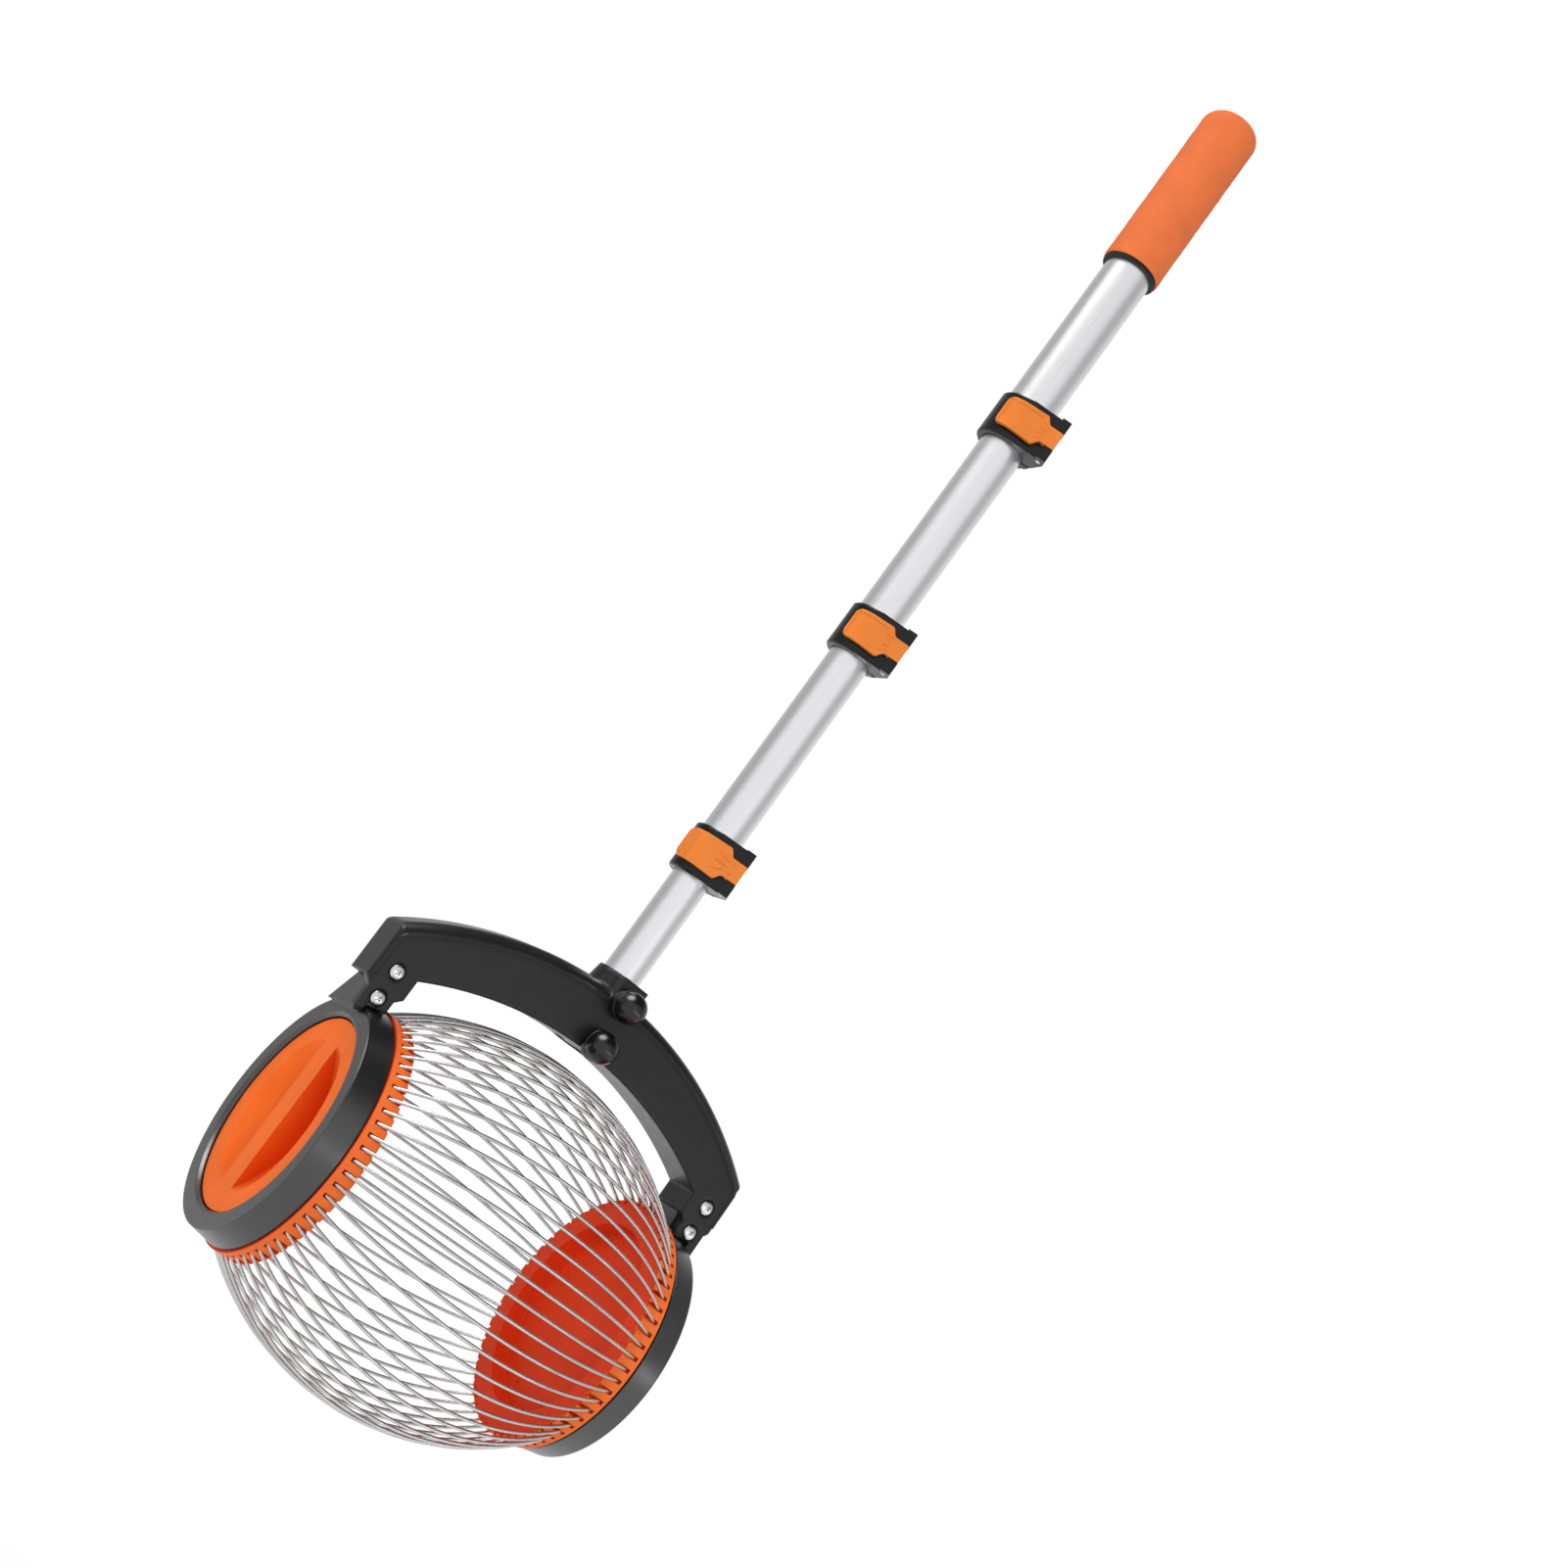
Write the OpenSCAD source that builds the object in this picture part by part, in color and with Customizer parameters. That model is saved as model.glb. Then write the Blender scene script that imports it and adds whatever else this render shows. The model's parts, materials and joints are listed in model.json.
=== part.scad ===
// Rolling nut gatherer: a wire cage between two hubs, carried by an arched yoke on a
// four-section telescopic pole with flip-lever clamps.
// The axle lies along X with the lid at -X, the pole rises along +Z, the front is -Y.
// The origin is on the ground, under the middle of the cage.

/* [Cage] */
// Radius of the cage at its widest, over the wires
cage_r = 104; // [95:1:115]
// Radius of the arc that each wire follows from hub to hub
wire_arc_r = 155; // [145:1:175]
// Half of the distance between the two ends of the wire arcs
cage_half = 95; // [88:1:100]
// Diameter of a wire
wire_d = 1.8; // [1.4:0.1:2.2]
// Number of wires round the cage
wire_count = 64; // [48:4:68]
// Radius of the bend at each wire end
wire_bend_r = 2.6; // [2:0.1:3.5]
// Length of the straight hook beyond the bend
wire_hook = 5; // [3:0.5:6]

/* [Hubs] */
// How far the hub rim stands above the wire ends
hub_lip = 1; // [0.5:0.1:2]
// Width of the hub rim on the cage side of the wire ends
hub_inner_w = 7; // [4:0.1:8]
// Width of the hub rim beyond the hooks, to the end ring
hub_outer_w = 4.8; // [3.5:0.1:7]
// How far the lid side's rim stays back from the end ring
lid_rim_gap = 0.6; // [0.4:0.1:1.2]
// How far the closed side's rim stays back from the end ring
closed_rim_gap = 1.8; // [0.6:0.1:2.2]
// Height of the collar that runs against the end ring
thrust_h = 5; // [3:0.1:8]
// Height of the shoulder from the journal up to the rim
hub_shoulder = 14.8; // [13:0.1:18]
// Wall of the journal that turns in the end ring
journal_wall = 5.3; // [4.5:0.1:7]
// Depth of the dish in the closed hub
dish_depth = 10; // [8:0.5:11]
// Floor of the closed hub
dish_floor = 3; // [2:0.1:3.2]
// Diameter of the round holes in the floor of the closed hub
dish_hole_d = 6; // [4:0.5:8]
// Number of round holes in the floor of the closed hub
dish_hole_count = 8; // [4:1:12]

/* [Lid] */
// How far the lid lies behind the face of the end ring
lid_recess = 2.6; // [1.5:0.1:4]
// Thickness of the lid's face
lid_t = 3; // [2:0.1:4]
// Length of the lid's skirt inside the hub
lid_skirt = 12; // [11:0.5:14]
// Wall of the lid's skirt and scoops
lid_wall = 2.2; // [1.6:0.1:3]
// Width of the grip bar between the scoops
lid_bar_w = 17.5; // [14:0.5:20]
// Distance from the skirt to the edge of a scoop, in the lid's face
scoop_margin = 8.4; // [6:0.1:12]
// Depth of a scoop beside the bar
scoop_depth = 15; // [11:0.5:17]
// Thickness of a bayonet lug
bayonet_t = 3; // [2:0.1:4]
// Height of a bayonet lug above the skirt
bayonet_h = 1.8; // [1.2:0.1:2.2]
// Turn from locked to free
lid_twist = 40; // [25:1:50]

/* [End rings] */
// Width of an end ring along the axle
ring_w = 14.7; // [12:0.1:18]
// Radial depth of an end ring
ring_band = 13.2; // [11:0.1:16]
// How much smaller the ring's outer face is than its inner one
ring_taper = 2.4; // [1:0.1:4]
// Chamfer round the mouth of the ring
ring_mouth_edge = 1.6; // [0.8:0.1:2.5]
// Thickness of the neck along the axle
neck_t = 15.2; // [13:0.1:18]
// Distance from the ring's inner face to the neck
neck_inset = 2.5; // [1:0.1:4]
// How far the neck's foot spreads behind the yoke
neck_flare = 14; // [8:0.5:18]
// Height of the tongue inside the yoke leg
tongue_h = 15.5; // [14:0.5:18]
// Thickness of the tongue along the axle
tongue_t = 10; // [8:0.5:11]

/* [Yoke] */
// Depth of the yoke, front to back
yoke_d = 31; // [27:0.5:36]
// Gap between the cage and the crown of the arch
arch_gap = 12.4; // [8:0.1:20]
// Height of the arch at its crown
arch_h = 34.9; // [30:0.1:40]
// Radius of the arch's upper edge
arch_top_r = 218; // [205:1:240]
// Radius of the arch's lower edge
arch_low_r = 223; // [205:1:240]
// Rounding of the arch's upper edges
arch_edge = 8.5; // [5:0.5:10]
// Rounding of the end faces' edges
end_edge = 4; // [2:0.5:6]
// Rounding of the arch's outer top corners
corner_r = 8; // [5:0.5:10]
// Distance from the ring's inner face to the middle of a lug
lug_offset = 12.5; // [11.5:0.1:14]
// Width of a yoke leg and of its lug
lug_w = 23.4; // [21:0.1:26]
// Thickness of a lug
lug_t = 7; // [5:0.1:8]
// How much each side of the lug steps in below the leg
lug_step = 3.6; // [2:0.1:4.5]
// Height of the lower lug screw above the end ring
screw_rise = 3.1; // [2.6:0.1:5]
// Distance between the two lug screws
screw_pitch = 16; // [15:0.5:18]
// Height of the leg's end above the lower lug screw
leg_rise = 6.5; // [6:0.1:7.5]
// How far the pole stands behind the axle
pole_setback = 7.7; // [4:0.1:9]
// Wall of the pole socket
socket_wall = 3.9; // [3.5:0.1:5]
// Height of the socket above the arch
socket_rise = 9.7; // [8:0.1:16]
// How much the socket narrows above the arch
socket_taper = 1.6; // [0.8:0.1:2]

/* [Fasteners] */
// Diameter of a lug screw
screw_d = 4; // [3:0.1:4.5]
// Diameter of a lug screw's head
screw_head_d = 8.4; // [7:0.1:9]
// Height of a lug screw's head
screw_head_h = 2.6; // [2:0.1:3.5]
// Length of a lug screw under its head
screw_len = 18; // [14:0.5:20]
// Depth of the pocket for a screw head
screw_pocket = 1.9; // [1:0.1:2.5]
// Diameter of the knob bolts
bolt_d = 5; // [4:0.5:6]
// Diameter of a knob bolt's head
bolt_head_d = 8; // [7:0.5:10]
// Height of a knob bolt's head
bolt_head_h = 2.5; // [2:0.1:2.8]
// Diameter of a thumb knob
knob_d = 19.4; // [17:0.1:21]
// Height of a thumb knob's rim
knob_rim_h = 8; // [6:0.5:10]
// Height of a thumb knob's dome
knob_dome_h = 7.5; // [6:0.5:8.5]
// Height of the lower knob above the arch's lower edge
knob_rise = 5.6; // [5:0.1:7]
// Distance of the upper knob below the arch's upper edge
knob_drop = 3.9; // [0:0.1:5]
// Number of grooves round a knob
knob_grooves = 24; // [16:1:32]

/* [Pole] */
// Outer diameter of the bottom tube
tube_d = 22; // [19:0.5:25]
// Wall of every tube
tube_wall = 1; // [0.8:0.1:1.4]
// Length of the three inner tubes
tube_len = 250; // [235:1:265]
// Bottom tube in sight, from the socket to the lower collar
reach_1 = 65.5; // [40:0.5:90]
// Lower middle tube in sight
reach_2 = 125.5; // [100:0.5:135]
// Upper middle tube in sight
reach_3 = 126.5; // [100:0.5:135]
// Top tube in sight, up to the grip
reach_4 = 107; // [80:1:130]
// Diameter of the grip
grip_d = 36.8; // [35:0.1:42]
// Length of the grip
grip_len = 120; // [100:1:140]
// Rounding of the grip's top
grip_round = 9; // [5:0.5:12]
// Wall of the grip's liner
liner_wall = 1.4; // [1:0.1:1.8]
// Height of the liner's lip under the grip
liner_lip = 2; // [1:0.1:4]
// Thickness of foam over the end of the top tube
grip_cap = 7; // [5:0.5:10]
// Length of a guide plug inside its tube
plug_len = 10; // [6:0.5:14]
// Height of a guide plug's flange
plug_flange = 3; // [2:0.5:5]
// Bore of a guide plug
plug_bore = 10; // [6:0.5:12]

/* [Clamps] */
// Height of a clamp collar
collar_h = 28.5; // [26:0.5:34]
// Wall of a clamp collar
collar_wall = 2.9; // [2.5:0.1:4]
// Height of the collar's lower lip, under the outer tube
collar_lip = 6; // [4:0.5:9]
// Turn of the clamps about the pole
clamp_turn = -28; // [-45:1:-15]
// How far the clamp's boss reaches past the collar
boss_over = 7; // [5:0.1:7.5]
// Thickness of the boss at its end
boss_end = 4.6; // [4.2:0.1:6]
// Width of the split in the collar
split_w = 1.6; // [1:0.1:2.4]
// Diameter of a lever pin
pin_d = 3; // [2.5:0.1:3.4]
// Thickness of a lever
lever_t = 3; // [2.4:0.1:3.4]
// Width of a lever's finger pad at its widest, along the pole
pad_w = 20; // [18:0.5:22]
// Width of a lever's finger pad at its free end
pad_end_w = 18.5; // [14:0.5:19]
// Width of a lever between the ears
lever_neck_w = 11.5; // [9:0.5:12.5]
// Rounding of the pad's corners
pad_round = 4; // [2:0.5:6]
// Depth of the panel in a pad's face
panel_depth = 0.6; // [0.3:0.1:1]
// Border round the panel
panel_border = 1.8; // [1:0.1:3]
// Height of the ribs on the lower lever
rib_h = 0.8; // [0.4:0.1:1.2]

/* [Hidden] */
$fn = 72;

// Overrun of every cut
over = 1;
// Clearance between tubes that slide
tube_clear = 0.3;
// Clearance of pieces that are pushed together
fit_clear = 0.05;
// Clearance of pins, bolts and screws in their holes
pin_clear = 0.1;
// Clearance of wires in the hubs
wire_clear = 0.3;
// Clearance of moving pieces beside each other
run_clear = 0.4;
// Clearance of faces that rest on each other
seat_clear = 0.2;

// Cage: a wire's arc, bend and hook in the plane of the axle
wire_line_r = cage_r - wire_d / 2;
arc_centre_r = wire_line_r - wire_arc_r;
arc_end = asin(cage_half / wire_arc_r);
wire_end_r = arc_centre_r + wire_arc_r * cos(arc_end);
bend_x = cage_half - wire_bend_r * sin(arc_end);
hook_top_r = wire_end_r - wire_bend_r * cos(arc_end);
hook_x = bend_x + wire_bend_r;
wire_pitch = 360 / wire_count;
hook_swell = 0.04;
hook_lap = 2;
// The cage stands on two wires, half a pitch to either side of the lowest point
axle_z = wire_line_r * cos(wire_pitch / 2) + wire_d / 2;

// Hubs, from the cage outwards
hub_r = wire_end_r + hub_lip;
hub_x0 = cage_half - hub_inner_w;
hub_x1 = hook_x + hub_outer_w;
journal_r = hub_r - hub_shoulder;
mouth_r = journal_r - journal_wall;
dish_r = journal_r;
dish_hole_ring_share = 0.86;

// End rings
ring_x0 = hub_x1 + seat_clear;
ring_x1 = ring_x0 + ring_w;
ring_bore_r = journal_r + run_clear;
ring_r = ring_bore_r + ring_band;
ring_face_r = ring_r - ring_taper;

// Lid
lid_x1 = ring_x1 - lid_recess;
lid_x0 = lid_x1 - lid_t;
lid_r = journal_r - run_clear;
journal_x1 = lid_x0 - seat_clear;
skirt_r = mouth_r - run_clear;
bayonet_gap = 4;
bayonet_x1 = lid_x0 - bayonet_gap;
bayonet_x0 = bayonet_x1 - bayonet_t;
bayonet_r = skirt_r + bayonet_h;
bayonet_count = 3;
bayonet_span = 24;
bayonet_slack = 2;
// A scoop is part of a spindle whose axis lies in front of the lid's face, along the bar
scoop_len = 2 * (skirt_r - scoop_margin);
scoop_w = skirt_r - scoop_margin - lid_bar_w / 2;
scoop_lift = (pow(scoop_w, 2) - pow(scoop_depth, 2)) / (2 * scoop_depth);
scoop_bow_r = (pow(scoop_len / 2, 2) + pow(scoop_depth, 2)) / (2 * scoop_depth);

// Yoke
lug_x = ring_x0 + lug_offset;
lug_x0 = lug_x - lug_w / 2;
end_x = lug_x + lug_w / 2;
front_y = -yoke_d / 2;
back_y = yoke_d / 2;
lug_back_y = front_y + lug_t;
screw_low_z = ring_r + screw_rise;
screw_high_z = screw_low_z + screw_pitch;
leg_z = screw_low_z + leg_rise;
lug_z = ring_r - lug_t;
tongue_z = leg_z + tongue_h;
tongue_back_y = back_y / 2;
neck_x0 = ring_x0 + neck_inset;
neck_x1 = neck_x0 + neck_t;
arch_low_z = cage_r + arch_gap;
arch_top_z = arch_low_z + arch_h;
socket_z = arch_top_z + socket_rise;
corner_share = 0.96;
tube_inset = 0.6;
web_w = knob_d - pin_d;

// Pole, one entry per tube from the bottom up
tube_step = tube_wall + tube_clear;
tube_rs = [for (k = [0 : 3]) tube_d / 2 + k * tube_step];
collar_zs = [
    socket_z + reach_1,
    socket_z + reach_1 + collar_h + reach_2,
    socket_z + reach_1 + 2 * collar_h + reach_2 + reach_3
];
grip_z = collar_zs[2] + collar_h + reach_4;
grip_top_z = grip_z + grip_len;
tube_zs = concat([arch_low_z + tube_inset], [for (z = collar_zs) z + collar_lip]);
top_tube_len = grip_top_z - grip_cap - tube_zs[3];
socket_r = tube_rs[0] + socket_wall;

// Knobs and their bolts
knob_zs = [arch_low_z + knob_rise, arch_top_z - knob_drop];
bolt_seat_y = pole_setback + socket_r - bolt_head_h;
bolt_grip = knob_rim_h + knob_dome_h / 2;

// Clamps
lever_gap = 0.4;
pin_edge = 3.5;
pin_drop = 3.2;
cam_r = pin_edge - seat_clear;
waist_reach = 5.5;
waist_len = 4.5;
ear_reach = 2.4;
boss_root = 20;
chamfer = 1;
ear_h = (collar_h - lever_neck_w) / 2 - wire_clear;
lever_wraps = [58, 38, 38];
wrap_spare = 8;
rib_turn = 12;

module at_axle() translate([0, 0, axle_z]) children();
module at_pole() translate([0, pole_setback, axle_z]) children();
module at_clamp(k) at_pole() translate([0, 0, collar_zs[k]]) rotate([0, 0, clamp_turn]) children();
module on_side(side) mirror([side < 0 ? 1 : 0, 0, 0]) children();

// Turns a profile of radius and distance along the axle about the axle, from straight down
module about_axle(angle = 360) rotate([0, 90, 0]) rotate_extrude(angle = angle) children();

// Extrudes an outline drawn in Y and Z along the axle
module along_axle(x0, x1) {
    translate([x0, 0, 0]) rotate([90, 0, 90]) linear_extrude(x1 - x0) children();
}

module rounded_rect(size, r) {
    square([size[0] - 2 * r, size[1]], center = true);
    square([size[0], size[1] - 2 * r], center = true);
    for (sx = [-1, 1], sy = [-1, 1]) {
        translate([sx * (size[0] / 2 - r), sy * (size[1] / 2 - r)]) circle(r);
    }
}

// One hollow tube
module tube(r, length) {
    difference() {
        cylinder(r = r, h = length);
        translate([0, 0, -over]) cylinder(r = r - tube_wall, h = length + 2 * over);
    }
}

module pole_tube(k, length) {
    color("gainsboro") at_pole() translate([0, 0, tube_zs[k]]) tube(tube_rs[k], length);
}

module top_tube() pole_tube(3, top_tube_len);
module upper_middle_tube() pole_tube(2, tube_len);
module lower_middle_tube() pole_tube(1, tube_len);

// The bottom tube is drilled for the two knob bolts
module bottom_tube() {
    color("gainsboro") difference() {
        at_pole() translate([0, 0, tube_zs[0]]) tube(tube_rs[0], tube_len);
        for (z = knob_zs) bolt_hole(z);
    }
}

module bolt_hole(z) {
    at_axle() translate([0, front_y - over, z]) rotate([-90, 0, 0]) {
        cylinder(r = bolt_d / 2 + pin_clear, h = 2 * yoke_d + 2 * over);
    }
}

// Guide plug in the upper end of a tube
module guide_plug(k) {
    r = tube_rs[k];
    color("dimgray") at_pole() translate([0, 0, tube_zs[k] + tube_len]) difference() {
        union() {
            cylinder(r = r, h = plug_flange);
            translate([0, 0, -plug_len]) cylinder(r = r - tube_wall - fit_clear, h = plug_len + over);
        }
        translate([0, 0, -plug_len - over]) {
            cylinder(d = plug_bore, h = plug_len + plug_flange + 2 * over);
        }
    }
}

module upper_middle_plug() guide_plug(2);
module lower_middle_plug() guide_plug(1);
module bottom_plug() guide_plug(0);

// Liner between the top tube and the foam, with a lip under the foam
module grip_liner() {
    r = tube_rs[3] + fit_clear;
    color("black") at_pole() difference() {
        union() {
            translate([0, 0, grip_z]) cylinder(d = grip_d - 2 * chamfer, h = liner_lip);
            translate([0, 0, grip_z]) cylinder(r = r + liner_wall, h = grip_len - grip_cap);
        }
        translate([0, 0, grip_z - over]) cylinder(r = r, h = grip_len + 2 * over);
    }
}

module grip_sleeve() {
    bore_r = tube_rs[3] + liner_wall + 2 * fit_clear;
    r = grip_d / 2;
    z0 = grip_z + liner_lip;
    bore_h = grip_top_z - grip_cap - z0;
    color("orangered") at_pole() translate([0, 0, z0]) difference() {
        rotate_extrude() {
            square([r, grip_top_z - z0 - grip_round]);
            square([r - grip_round, grip_top_z - z0]);
            translate([r - grip_round, grip_top_z - z0 - grip_round]) intersection() {
                circle(grip_round);
                square(grip_round);
            }
        }
        translate([0, 0, -over]) cylinder(r = bore_r, h = bore_h + over);
    }
}

// Outline of a clamp's boss, seen along the pole: a wedge that leaves the collar at a tangent
module boss_outline(r) {
    polygon([
        [0, 0],
        [0, -r],
        [r + boss_over, -r],
        [r + boss_over, boss_end - r],
        [r * cos(boss_root), r * sin(boss_root)]
    ]);
}

// Collar that clamps tube k in tube k + 1
module clamp_collar(k) {
    r = tube_rs[k + 1] + collar_wall;
    pin_x = r + boss_over - pin_edge;
    pin_y = pin_drop - r;
    color([0.08, 0.08, 0.09]) at_clamp(k) difference() {
        union() {
            rotate_extrude() polygon([
                [0, 0], [r - chamfer, 0], [r, chamfer],
                [r, collar_h - chamfer], [r - chamfer, collar_h], [0, collar_h]
            ]);
            difference() {
                union() {
                    linear_extrude(collar_h) boss_outline(r);
                    translate([pin_x - ear_reach, -r - lever_t, 0]) {
                        cube([ear_reach + pin_edge, lever_t + over, collar_h]);
                    }
                }
                translate([pin_x - cam_r - run_clear, -r - lever_t - over, ear_h]) {
                    cube([cam_r + run_clear + pin_edge + over, 2 * r, collar_h - 2 * ear_h]);
                }
            }
        }
        translate([0, 0, -over]) cylinder(r = tube_rs[k] + tube_clear, h = collar_h + 2 * over);
        translate([0, 0, collar_lip]) cylinder(r = tube_rs[k + 1] + fit_clear, h = collar_h);
        translate([pin_x, pin_y, -over]) cylinder(d = pin_d + 2 * pin_clear, h = collar_h + 2 * over);
        translate([0, -split_w / 2, -over]) cube([r + boss_over, split_w, collar_h / 2 + over]);
    }
}

module upper_collar() clamp_collar(2);
module middle_collar() clamp_collar(1);
module lower_collar() clamp_collar(0);

module lever_pin(k) {
    r = tube_rs[k + 1] + collar_wall;
    color("silver") at_clamp(k) {
        translate([r + boss_over - pin_edge, pin_drop - r, 0]) cylinder(d = pin_d, h = collar_h);
    }
}

module upper_lever_pin() lever_pin(2);
module middle_lever_pin() lever_pin(1);
module lower_lever_pin() lever_pin(0);

// Half plane sector between two angles, wide enough for a lever
module sector(a0, a1, r) {
    polygon([
        [0, 0],
        [r * cos(a0), r * sin(a0)],
        2 * [r * cos((a0 + a1) / 2), r * sin((a0 + a1) / 2)],
        [r * cos(a1), r * sin(a1)]
    ]);
}

// A lever seen along the pole: pad round the collar, straight arm, cam round the pin
module lever_skin(r0, r1, wrap, arm) {
    intersection() {
        difference() {
            circle(r1);
            circle(r0);
        }
        sector(270 - wrap, 270, 2 * r1);
    }
    translate([0, -r1]) square([arm, r1 - r0]);
}

// A lever seen from the front: wide pad with round corners, curved waist, narrow neck
module lever_front(left, right, waist_x) {
    steps = 12;
    drop = (pad_w - lever_neck_w) / 2;
    corner = [for (i = [0 : steps]) [
        left + pad_round * (1 - cos(90 * i / steps)),
        pad_end_w / 2 - pad_round * (1 - sin(90 * i / steps))
    ]];
    waist = [for (i = [0 : steps]) [
        waist_x - waist_len + waist_len * i / steps,
        lever_neck_w / 2 + drop * (1 + cos(180 * i / steps)) / 2
    ]];
    upper = concat(corner, waist, [[right, lever_neck_w / 2]]);
    polygon(concat(upper, [for (i = [len(upper) - 1 : -1 : 0]) [upper[i][0], -upper[i][1]]]));
}

module lever(k) {
    r = tube_rs[k + 1] + collar_wall;
    wrap = lever_wraps[k];
    r0 = r + lever_gap;
    r1 = r0 + lever_t;
    pin_x = r + boss_over - pin_edge;
    pin_y = pin_drop - r;
    left = r1 * cos(270 - wrap);
    waist_x = pin_x - waist_reach;
    panel_x = waist_x - waist_len - panel_border;
    panel_turn = asin(panel_border / r1);
    color("darkorange") at_clamp(k) translate([0, 0, collar_h / 2]) {
        difference() {
            intersection() {
                linear_extrude(2 * pad_w, center = true) difference() {
                    union() {
                        lever_skin(r0, r1, wrap + wrap_spare, pin_x);
                        translate([pin_x - cam_r, -r1]) square([2 * cam_r, r1 + pin_y]);
                        translate([pin_x, pin_y]) circle(cam_r);
                    }
                    translate([pin_x, pin_y]) circle(pin_d / 2 + pin_clear);
                }
                rotate([90, 0, 0]) linear_extrude(4 * r1, center = true) {
                    lever_front(left, pin_x + cam_r, waist_x);
                }
            }
            if (k > 0) linear_extrude(pad_end_w - 2 * panel_border, center = true) {
                lever_skin(r1 - panel_depth, r1 + over, wrap - panel_turn, panel_x);
            }
        }
        if (k == 0) for (i = [1 : 2]) rotate([0, 0, 270 - wrap + rib_turn * i]) {
            translate([r1, 0, 0]) cylinder(r = rib_h, h = pad_end_w - pad_round, center = true);
        }
    }
}

module upper_lever() lever(2);
module middle_lever() lever(1);
module lower_lever() lever(0);

// Disc with rounded edges, its axis along Y
module rounded_disc(r, depth, edge) {
    rotate([90, 0, 0]) rotate_extrude() {
        translate([0, -depth / 2]) square([r - edge, depth]);
        translate([0, edge - depth / 2]) square([r, depth - 2 * edge]);
        for (s = [-1, 1]) translate([r - edge, s * (depth / 2 - edge)]) circle(edge);
    }
}

// Arched bar with its two legs, each ending in a lug plate at the front
module arch() {
    difference() {
        intersection() {
            translate([0, 0, arch_top_z - arch_top_r]) rounded_disc(arch_top_r, yoke_d, arch_edge);
            translate([0, 0, lug_z]) linear_extrude(arch_top_z) rounded_rect([2 * end_x, yoke_d], end_edge);
        }
        intersection() {
            translate([0, yoke_d, arch_low_z - arch_low_r]) rotate([90, 0, 0]) {
                cylinder(r = arch_low_r, h = 2 * yoke_d, $fn = 180);
            }
            translate([-lug_x0, -yoke_d, 0]) cube([2 * lug_x0, 2 * yoke_d, arch_top_z]);
        }
        for (side = [-1, 1]) on_side(side) {
            corner_trim();
            translate([lug_x0 - over, lug_back_y, lug_z - over]) {
                cube([lug_w + 2 * over, yoke_d, leg_z - lug_z + over]);
            }
            lug_trim(end_x, 1);
            lug_trim(lug_x0, -1);
        }
    }
}

// Rounds the top corner at the arch's end; the arc meets both faces at a slight angle
module corner_trim() {
    inset = corner_r * corner_share;
    x = end_x - inset;
    rise = sqrt(pow(arch_top_r - inset, 2) - pow(x, 2));
    reach = 2 * corner_r;
    translate([x, yoke_d, arch_top_z - arch_top_r + rise]) rotate([90, 0, 0]) linear_extrude(2 * yoke_d) {
        difference() {
            polygon([[0, 0], [reach, 0], [reach, reach], reach * [x, rise] / rise]);
            circle(corner_r);
        }
    }
}

// Takes one side of the lug in below the leg, with a slope at the top
module lug_trim(x, out) {
    translate([0, yoke_d, 0]) rotate([90, 0, 0]) linear_extrude(2 * yoke_d) polygon([
        [x - out * lug_step, lug_z - over],
        [x + out * over, lug_z - over],
        [x + out * over, leg_z + over],
        [x - out * lug_step, leg_z - lug_step]
    ]);
}

// Room for the neck's tongue, or the tongue itself when clear is 0
module tongue(clear) {
    translate([lug_x - tongue_t / 2 - clear, lug_back_y, leg_z - over]) {
        cube([tongue_t + 2 * clear, tongue_back_y - lug_back_y + clear, tongue_h + over + clear]);
    }
}

module yoke() {
    color([0.16, 0.16, 0.17]) difference() {
        union() {
            at_axle() {
                arch();
                translate([-web_w / 2, front_y, arch_low_z]) {
                    cube([web_w, pole_setback - front_y, socket_z - chamfer - arch_low_z]);
                }
            }
            at_pole() translate([0, 0, arch_low_z]) rotate_extrude() polygon([
                [0, 0],
                [socket_r, 0],
                [socket_r, arch_h],
                [socket_r - socket_taper, arch_h + socket_rise],
                [0, arch_h + socket_rise]
            ]);
        }
        at_pole() translate([0, 0, arch_low_z - over]) {
            cylinder(r = tube_rs[0] + fit_clear, h = socket_z + 2 * over);
        }
        for (z = knob_zs) {
            bolt_hole(z);
            at_axle() translate([0, bolt_seat_y, z]) rotate([-90, 0, 0]) {
                cylinder(d = bolt_head_d + 2 * wire_clear, h = bolt_head_h + over);
            }
        }
        at_axle() for (side = [-1, 1]) on_side(side) {
            tongue(seat_clear);
            for (z = [screw_low_z, screw_high_z]) screw_hole(z, front_y + screw_pocket);
            translate([ring_x0 - over, 0, 0]) rotate([0, 90, 0]) {
                cylinder(r = ring_r + seat_clear, h = ring_w + 2 * over);
            }
        }
    }
}

// Through hole of a lug screw with the pocket for its head
module screw_hole(z, seat_y) {
    translate([lug_x, seat_y, z]) rotate([-90, 0, 0]) {
        cylinder(d = screw_d + 2 * pin_clear, h = screw_len + over);
    }
    translate([lug_x, seat_y - screw_head_h, z]) rotate([-90, 0, 0]) {
        cylinder(d = screw_head_d + 4 * wire_clear, h = screw_head_h);
    }
}

module lug_screws(side) {
    head_r = screw_head_d / 2;
    color("silver") at_axle() on_side(side) for (z = [screw_low_z, screw_high_z]) {
        translate([lug_x, front_y + screw_pocket, z]) rotate([90, 0, 0]) {
            translate([0, 0, -screw_len]) cylinder(d = screw_d, h = screw_len + over);
            rotate_extrude() {
                square([head_r, screw_head_h / 2]);
                square([head_r - screw_head_h / 2, screw_head_h]);
                translate([head_r - screw_head_h / 2, screw_head_h / 2]) intersection() {
                    circle(screw_head_h / 2);
                    square(screw_head_h);
                }
            }
        }
    }
}

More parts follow.
